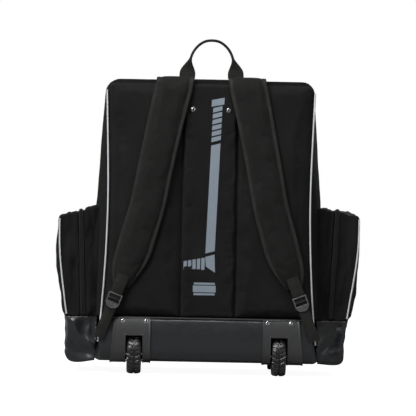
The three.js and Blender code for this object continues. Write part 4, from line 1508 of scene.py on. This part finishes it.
for side, left in SIDES:
    housing = make_piece(f"wheel_plate_{side}", wheel_housing(), "bag", PLATE, 35, f"wheel_housing_{side}",
                         left)
    add_wall(housing, 2.8 * MM)

# %% [markdown]
# The tyre is turned: half a section is spun round the axle, and then slanting grooves are pressed into its
# tread. Screws are turned too, with a straight slot pressed across the head; the slot's floor takes the black
# finish as painted shade.

# %% Turned pieces
def spun(profile, steps, axis="Z", at=(0, 0, 0)):
    """A profile of (radius, height) points in millimetres, spun a full turn about an axis through a point."""
    bm = bmesh.new()
    verts = [bm.verts.new((r * MM, 0, h * MM)) for r, h in profile]
    edges = [bm.edges.new(pair) for pair in zip(verts, verts[1:])]
    bmesh.ops.spin(bm, geom=verts + edges, cent=(0, 0, 0), axis=(0, 0, 1), dvec=(0, 0, 0), angle=2 * math.pi,
                   steps=steps, use_merge=True, use_normal_flip=False, use_duplicate=False)
    bmesh.ops.remove_doubles(bm, verts=bm.verts[:], dist=1e-6)
    bmesh.ops.recalc_face_normals(bm, faces=bm.faces[:])
    if axis == "X":
        bm.transform(Matrix.Rotation(math.radians(90), 4, "Y"))
    if axis == "-Y":
        bm.transform(Matrix.Rotation(math.radians(90), 4, "X"))
    bm.transform(Matrix.Translation(at))
    return bm


HALF_TREAD = [(48, 0.9), (48, 2), (48, 4), (47.95, 6), (47.8, 8), (47.5, 10), (47.0, 12), (46.0, 14.2),
              (44.4, 16.2), (42, 16.9), (38, 16.4), (34, 14.5)]
TREAD = [(r, -w) for r, w in HALF_TREAD[::-1]] + HALF_TREAD + [(30, 13), (30, -13), (34, -14.5)]
TREAD_PITCH = 2 * math.pi / 26


def tread_depth(x, y, z):
    """How deep the tread is cut at a point seen from the axle: slanting lugs and one ring groove."""
    turn = math.atan2(z, y)
    wide = x / MM
    lug = (turn / TREAD_PITCH + wide * 0.052 * (1 if wide > 0 else -0.6)) % 1.0
    slant = smooth((0.19 - abs(lug - 0.5)) / 0.07)
    groove = max(slant * smooth((abs(wide) - 1.6) / 1.2), smooth((1.7 - abs(wide)) / 0.8))
    return 1.9 * MM * groove * smooth((math.hypot(y, z) - 0.0425) / 0.002)


def tyre_with_tread():
    bm = spun(TREAD, 260, "X")
    for vert in bm.verts:
        y, z = vert.co.y, vert.co.z
        keep = 1 - tread_depth(vert.co.x, y, z) / math.hypot(y, z)
        vert.co.y, vert.co.z = y * keep, z * keep
    bm.transform(Matrix.Translation((WHEEL_X, WHEEL_Y, WHEEL_R)))
    return bm


for side, left in SIDES:
    make_piece(f"tyre_rubber_{side}", tyre_with_tread(), f"wheel_{side}", RUBBER, 30, f"tyre_{side}",
               left)


DOME = [(1.18, -0.1), (1.18, 0.1), (1.12, 0.18), (0.98, 0.2), (0.98, 0.42), (0.95, 0.58), (0.82, 0.76),
        (0.62, 0.9), (0.35, 0.98), (0.0, 1.0)]     # shares of a screw head's radius and height


def slotted_screw(at, radius, height):
    """A domed screw head that faces the harness side, with a shoulder washer under it."""
    bm = spun([(radius * k, height * h) for k, h in DOME], 40)
    slot = 0.24 * radius * MM
    for e in (-1.25, -1, 1, 1.25):
        score(bm, (e * slot, 0, 0), (1, 0, 0))
    for vert in bm.verts:
        if abs(vert.co.x) < slot * 1.05 and vert.co.z > height * 0.5 * MM:
            vert.co.z = height * 0.25 * MM
    # The slot's floor faces take the second, black finish: painted shade in the slot of a bare steel screw.
    for face in bm.faces:
        face.material_index = int(all(abs(v.co.x) < slot * 1.05 and v.co.z > height * 0.2 * MM
                                      for v in face.verts))
    bm.transform(Matrix.Translation(at) @ Matrix.Rotation(math.radians(90), 4, "X"))
    return bm


SCREW_Z = 0.126
SCREW_Y = base_back(SCREW_Z, PLATE_LIFT) + 0.0002
SCREWS = [("plate_screw", "_inner", (0.1437, SCREW_Y, SCREW_Z), 4.6, 2.8),
          ("plate_screw", "_outer", (0.199, SCREW_Y, SCREW_Z), 4.6, 2.8),
          ("frame_screw", "", (0.042, -0.1906, 0.630), 5.0, 3.0)]

for side, left in SIDES:
    for name, place, at, radius, height in SCREWS:
        bm = slotted_screw(at, radius, height)
        # The black second finish is the painted shade in each screw's slot.
        make_piece(f"{name}_head_{side}{place}", bm, "bag", [STEEL, HARD_BLACK], 25, f"{name}_{side}{place}",
                   left)

# %% [markdown]
# ## Pull handle
# The handle slides out of a moulded cup in the top. Two tubes of three stages stand behind the sleeve, the
# grip joins the inner pair, and a button in the grip lets it go. Trim is lofted from rounded rectangles.

# %% Bezel, grip, button, tubes and feet
HANDLE = (0, -150)
cup = lofted(stacked([(76, 18.5, 10, 699.5), (81, 22.2, 12, 700.2), (81, 22.4, 12, 701.6),
                      (79.6, 21.2, 11, 702.6), (72, 18.6, 10, 702.8), (70.3, 17.2, 9, 702.0),
                      (70, 17, 9, 699.0), (69.4, 16.6, 8.6, 683.0), (66, 13.5, 7, 681.4),
                      (20, 4, 3, 681.2)], 7, HANDLE),
             caps=(False, True))
make_piece("handle_cup", cup, "bag", HARD_BLACK, 40, "handle_bezel")
bar = lofted(stacked([(58, 8.5, 7.5, 685.0), (61, 11.2, 9.4, 686.2), (62, 12, 10, 688.5), (62, 12, 10, 695.0),
                      (61.2, 11.3, 9.6, 697.8), (58.6, 9.2, 8.2, 699.0), (17.0, 8.6, 6, 699.0),
                      (15.2, 7.2, 5, 698.4), (15.0, 7.0, 5, 691.2)], 7, HANDLE))
for vert in bar.verts:
    vert.co.z -= 0.0008 * smooth((abs(vert.co.x) - 0.045) / 0.02) * smooth((vert.co.z - 0.69) / 0.008)
make_piece("grip_bar", bar, "handle_top", HARD_BLACK, 40, "grip")
button = lofted(stacked([(14.4, 6.4, 4.6, 694.5), (14.4, 6.4, 4.6, 699.6), (13.8, 5.8, 4.2, 700.6),
                         (12.4, 4.6, 3.4, 701.0), (6, 2, 1.5, 700.6)], 7, HANDLE))
make_piece("grip_button", button, "button", BUCKLE, 40, "release_button")

for side, left in SIDES:
    spot = (0.042, CUP_Y, 0)
    for name, body, radius, wall, low, high, node in (
            ("outer_stage", "bag", 11, 1.4, 58, 676.6, "outer_tube"),
            ("middle_stage", "handle_middle", 9.3, 1.3, 62, 682, "middle_tube"),
            ("inner_stage", "handle_top", 7.7, 1.7, 66, 684.6, "inner_tube")):
        bore = radius - wall
        profile = [(bore, low), (radius - 0.4, low), (radius, low + 0.4), (radius, high - 0.6),
                   (radius - 0.4, high), (bore + 0.3, high), (bore, high - 0.4), (bore, low)]
        tube = spun(profile, 48, at=spot)
        make_piece(f"{name}_{side}", tube, body, TUBE, 30, f"{node}_{side}", left)
    foot = lofted(stacked([(12.5, 23.5, 4, 0.0), (14.4, 25.4, 5.6, 1.0), (15, 26, 6, 3.2), (15, 26, 6, 22),
                           (14.2, 25.2, 5.6, 28), (13.4, 24.4, 5, 29.6)], 6, (172, 150)))
    make_piece(f"base_foot_{side}", foot, "bag", HARD_BLACK, 35, f"foot_{side}", left)

# %% [markdown]
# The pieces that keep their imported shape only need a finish: the hubs and axles deep in their wells, the
# socket under the tubes, and the stiff board inside the back.

# %% Finish the frame's own pieces
def dress(node, material):
    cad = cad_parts[node]
    cad.data.materials.clear()
    cad.data.materials.append(material)


for side, _ in SIDES:
    dress(f"hub_{side}", HARD_BLACK)
    dress(f"axle_{side}", STEEL)
dress("tube_foot", HARD_BLACK)
dress("back_board", BOARD)

# %% [markdown]
# ## Zips
# A coil zip is two woven tapes and two rows of nylon teeth. One half belongs to the fixed cloth and the
# other to the door or lid, so that they part when it opens. The tape is a narrow grid laid just above the
# cloth, and each tooth is a small stretched ball across the chain.

# %% Tape and teeth along a seam
TOOTH_PITCH = 2.7 * MM
TAPE_WIDE = 5.6 * MM
ZIP_LIFT = 1.0 * MM


def zip_half(seam, count, lay_side):
    """seam(t) -> (point, outward normal); lay_side is the unit direction in which this half lies."""
    def tape(u, v):
        spot, out = seam(v)
        return spot + lay_side * (0.0002 + u * TAPE_WIDE) + out * (ZIP_LIFT + 0.0004 * math.sin(math.pi * u))

    bm = laid_grid(4, count // 3, tape, (TAPE_WIDE, count * TOOTH_PITCH))
    bmesh.ops.solidify(bm, geom=bm.faces[:], thickness=-0.0006)
    for i in range(count):
        t = (i + (0.5 if lay_side.y + lay_side.x > 0 else 0.0)) / count
        spot, out = seam(clamp(t))
        along = (seam(clamp(t + 0.002))[0] - seam(clamp(t - 0.002))[0]).normalized()
        turn = Matrix((lay_side, along, out)).transposed().to_4x4()
        place = Matrix.Translation(spot + lay_side * 0.0011 + out * (ZIP_LIFT + 0.0009)) @ turn
        size = Matrix.Diagonal((1.9 * MM, 0.95 * MM, 0.8 * MM, 1))
        tooth = bmesh.ops.create_icosphere(bm, subdivisions=1, radius=1.0, matrix=place @ size)["verts"]
        for face in {f for v in tooth for f in v.link_faces}:
            face.material_index = 1
    return bm


def door_seam(t):
    u = mix(0.0035, 0.9965, t)
    def spot(share):
        x, z = hoop(share)
        return Vector((x / FORM_HALF * half_width(ZIP_Y, z), ZIP_Y, z))
    along = (spot(u + 0.0015) - spot(u - 0.0015)).normalized()
    return spot(u), Vector((-along.z, 0, along.x))


for name, body, way, nodes in (("door_zip_fixed", "bag", -1, ()), ("door_zip_moving", "door", 1, "door_zip")):
    make_piece(name, zip_half(door_seam, 580, Vector((0, way, 0))), body, [ZIP_TAPE, COIL], 60, nodes)

LID_SEAM_Y = (POCKET_MID - POCKET_HALF, POCKET_MID + POCKET_HALF)
LID_SEAM_LOW, LID_SEAM_RISE = 0.1375, 0.2535


def lid_seam(t):
    """Up the pocket's near face, along its top and down its far face, on the zip's leaning line."""
    near, far = LID_SEAM_Y
    rise, deep = LID_SEAM_RISE, far - near
    want = t * (2 * rise + deep)
    if want < rise:
        z, y, out = LID_SEAM_LOW + want, near, Vector((0, -1, 0))
    elif want < rise + deep:
        z, y, out = LID_SEAM_LOW + rise, near + want - rise, Vector((0.195, 0, 0.981))
    else:
        z, y, out = LID_SEAM_LOW + 2 * rise + deep - want, far, Vector((0, 1, 0))
    if near < y < far:
        z = pocket_top(zip_x(z))
    return Vector((zip_x(z), y, z)), out


for side, left in SIDES:
    for name, body, way, node in ((f"lid_zip_fixed_{side}", "bag", -1, ()),
                                  (f"lid_zip_moving_{side}", f"pocket_lid_{side}", 1, f"pocket_zip_{side}")):
        bm = lean_pocket(zip_half(lid_seam, 280, Vector((way, 0, 0))), left)
        make_piece(name, bm, body, [ZIP_TAPE, COIL], 60, node, left)

# %% [markdown]
# A slider is a two-floored shoe with a bridge, and a pull tab hangs from the bridge. The tab is a rounded
# plate with a raised border that ends in a grip.

# %% Sliders
SHOE = [(5.4, 4.0, 1.8, 0.2), (6, 4.5, 2, 0.6), (6, 4.5, 2, 1.8), (5.2, 3.9, 1.6, 2.3)]
BRIDGE = Line([Vector((0, y, z)) * MM for y, z in
               ((-3.4, 1.8), (-3.0, 3.6), (-0.5, 4.3), (2.2, 3.9), (3.0, 1.9))], 6)
PULL_TAB = [(2.9, 11.6, 2.4), (3.4, 12.2, 2.7), (3.4, 12.2, 3.4), (3.0, 11.8, 3.7), (2.2, 10.8, 3.7),
            (2.0, 10.6, 3.3)]


def bridge_ring(t):
    across = Vector((1, 0, 0))
    return band_ring(BRIDGE.at(t), across, BRIDGE.along(t).cross(across), 1.1 * MM, 0.8 * MM)


def zip_slider(at):
    bm = bmesh.new()
    lofted(stacked(SHOE, 4), bm=bm)
    lofted([bridge_ring(i / 14) for i in range(15)], bm=bm)
    lofted(stacked([(wide, long, wide * 0.8, z) for wide, long, z in PULL_TAB], centre=(0, -13)), bm=bm)
    for y in (-17, -19, -21, -23):
        rounded_bar(bm, (0, y, 3.55), (4.2, 0.9, 0.7), 0.25, 2)
    bm.transform(Matrix.Translation(at))
    return bm


for side, x in (("left", -0.097), ("right", -0.062)):
    make_piece(f"door_pull_tab_{side}", zip_slider((x, ZIP_Y, TOP_Z + 0.0014)), f"door_pull_{side}", PULL, 35,
               f"door_slider_{side}")
for side, left in SIDES:
    top = zip_x(0.390)
    bm = lean_pocket(zip_slider((top, -0.098, pocket_top(top) + 0.0022)), left)
    make_piece(f"pocket_pull_tab_{side}", bm, f"pocket_pull_{side}", PULL, 35, f"pocket_slider_{side}",
               left)

# %% [markdown]
# ## Floor
# A plain pale floor that catches a faint shadow under the wheels.

# %% Floor and closing
FLOOR_GLOW = 0.95


def floor_finish():
    material = bpy.data.materials.new("pale_floor")
    material.use_nodes = True
    g = Graph(material.node_tree)
    shader = material.node_tree.nodes["Principled BSDF"]
    cloudy = g.noise(g.node("TexCoord").outputs["Object"], 1.5)
    g.feed(shader.inputs["Base Color"], g.mix(cloudy, (0.30, 0.30, 0.30, 1), (0.33, 0.33, 0.33, 1)))
    shader.inputs["Roughness"].default_value = 0.9
    shader.inputs["Specular IOR Level"].default_value = 0.1
    shader.inputs["Emission Color"].default_value = (1, 1, 1, 1)
    seen = g.node("LightPath").outputs["Is Camera Ray"]
    g.feed(shader.inputs["Emission Strength"], g.math("MULTIPLY", seen, FLOOR_GLOW))
    return material


bm = bmesh.new()
bmesh.ops.create_grid(bm, x_segments=8, y_segments=8, size=30)
mesh = bpy.data.meshes.new("pale_floor")
bm.to_mesh(mesh)
bm.free()
mesh.materials.append(floor_finish())
floor = bpy.data.objects.new("pale_floor", mesh)
bpy.context.scene.collection.objects.link(floor)
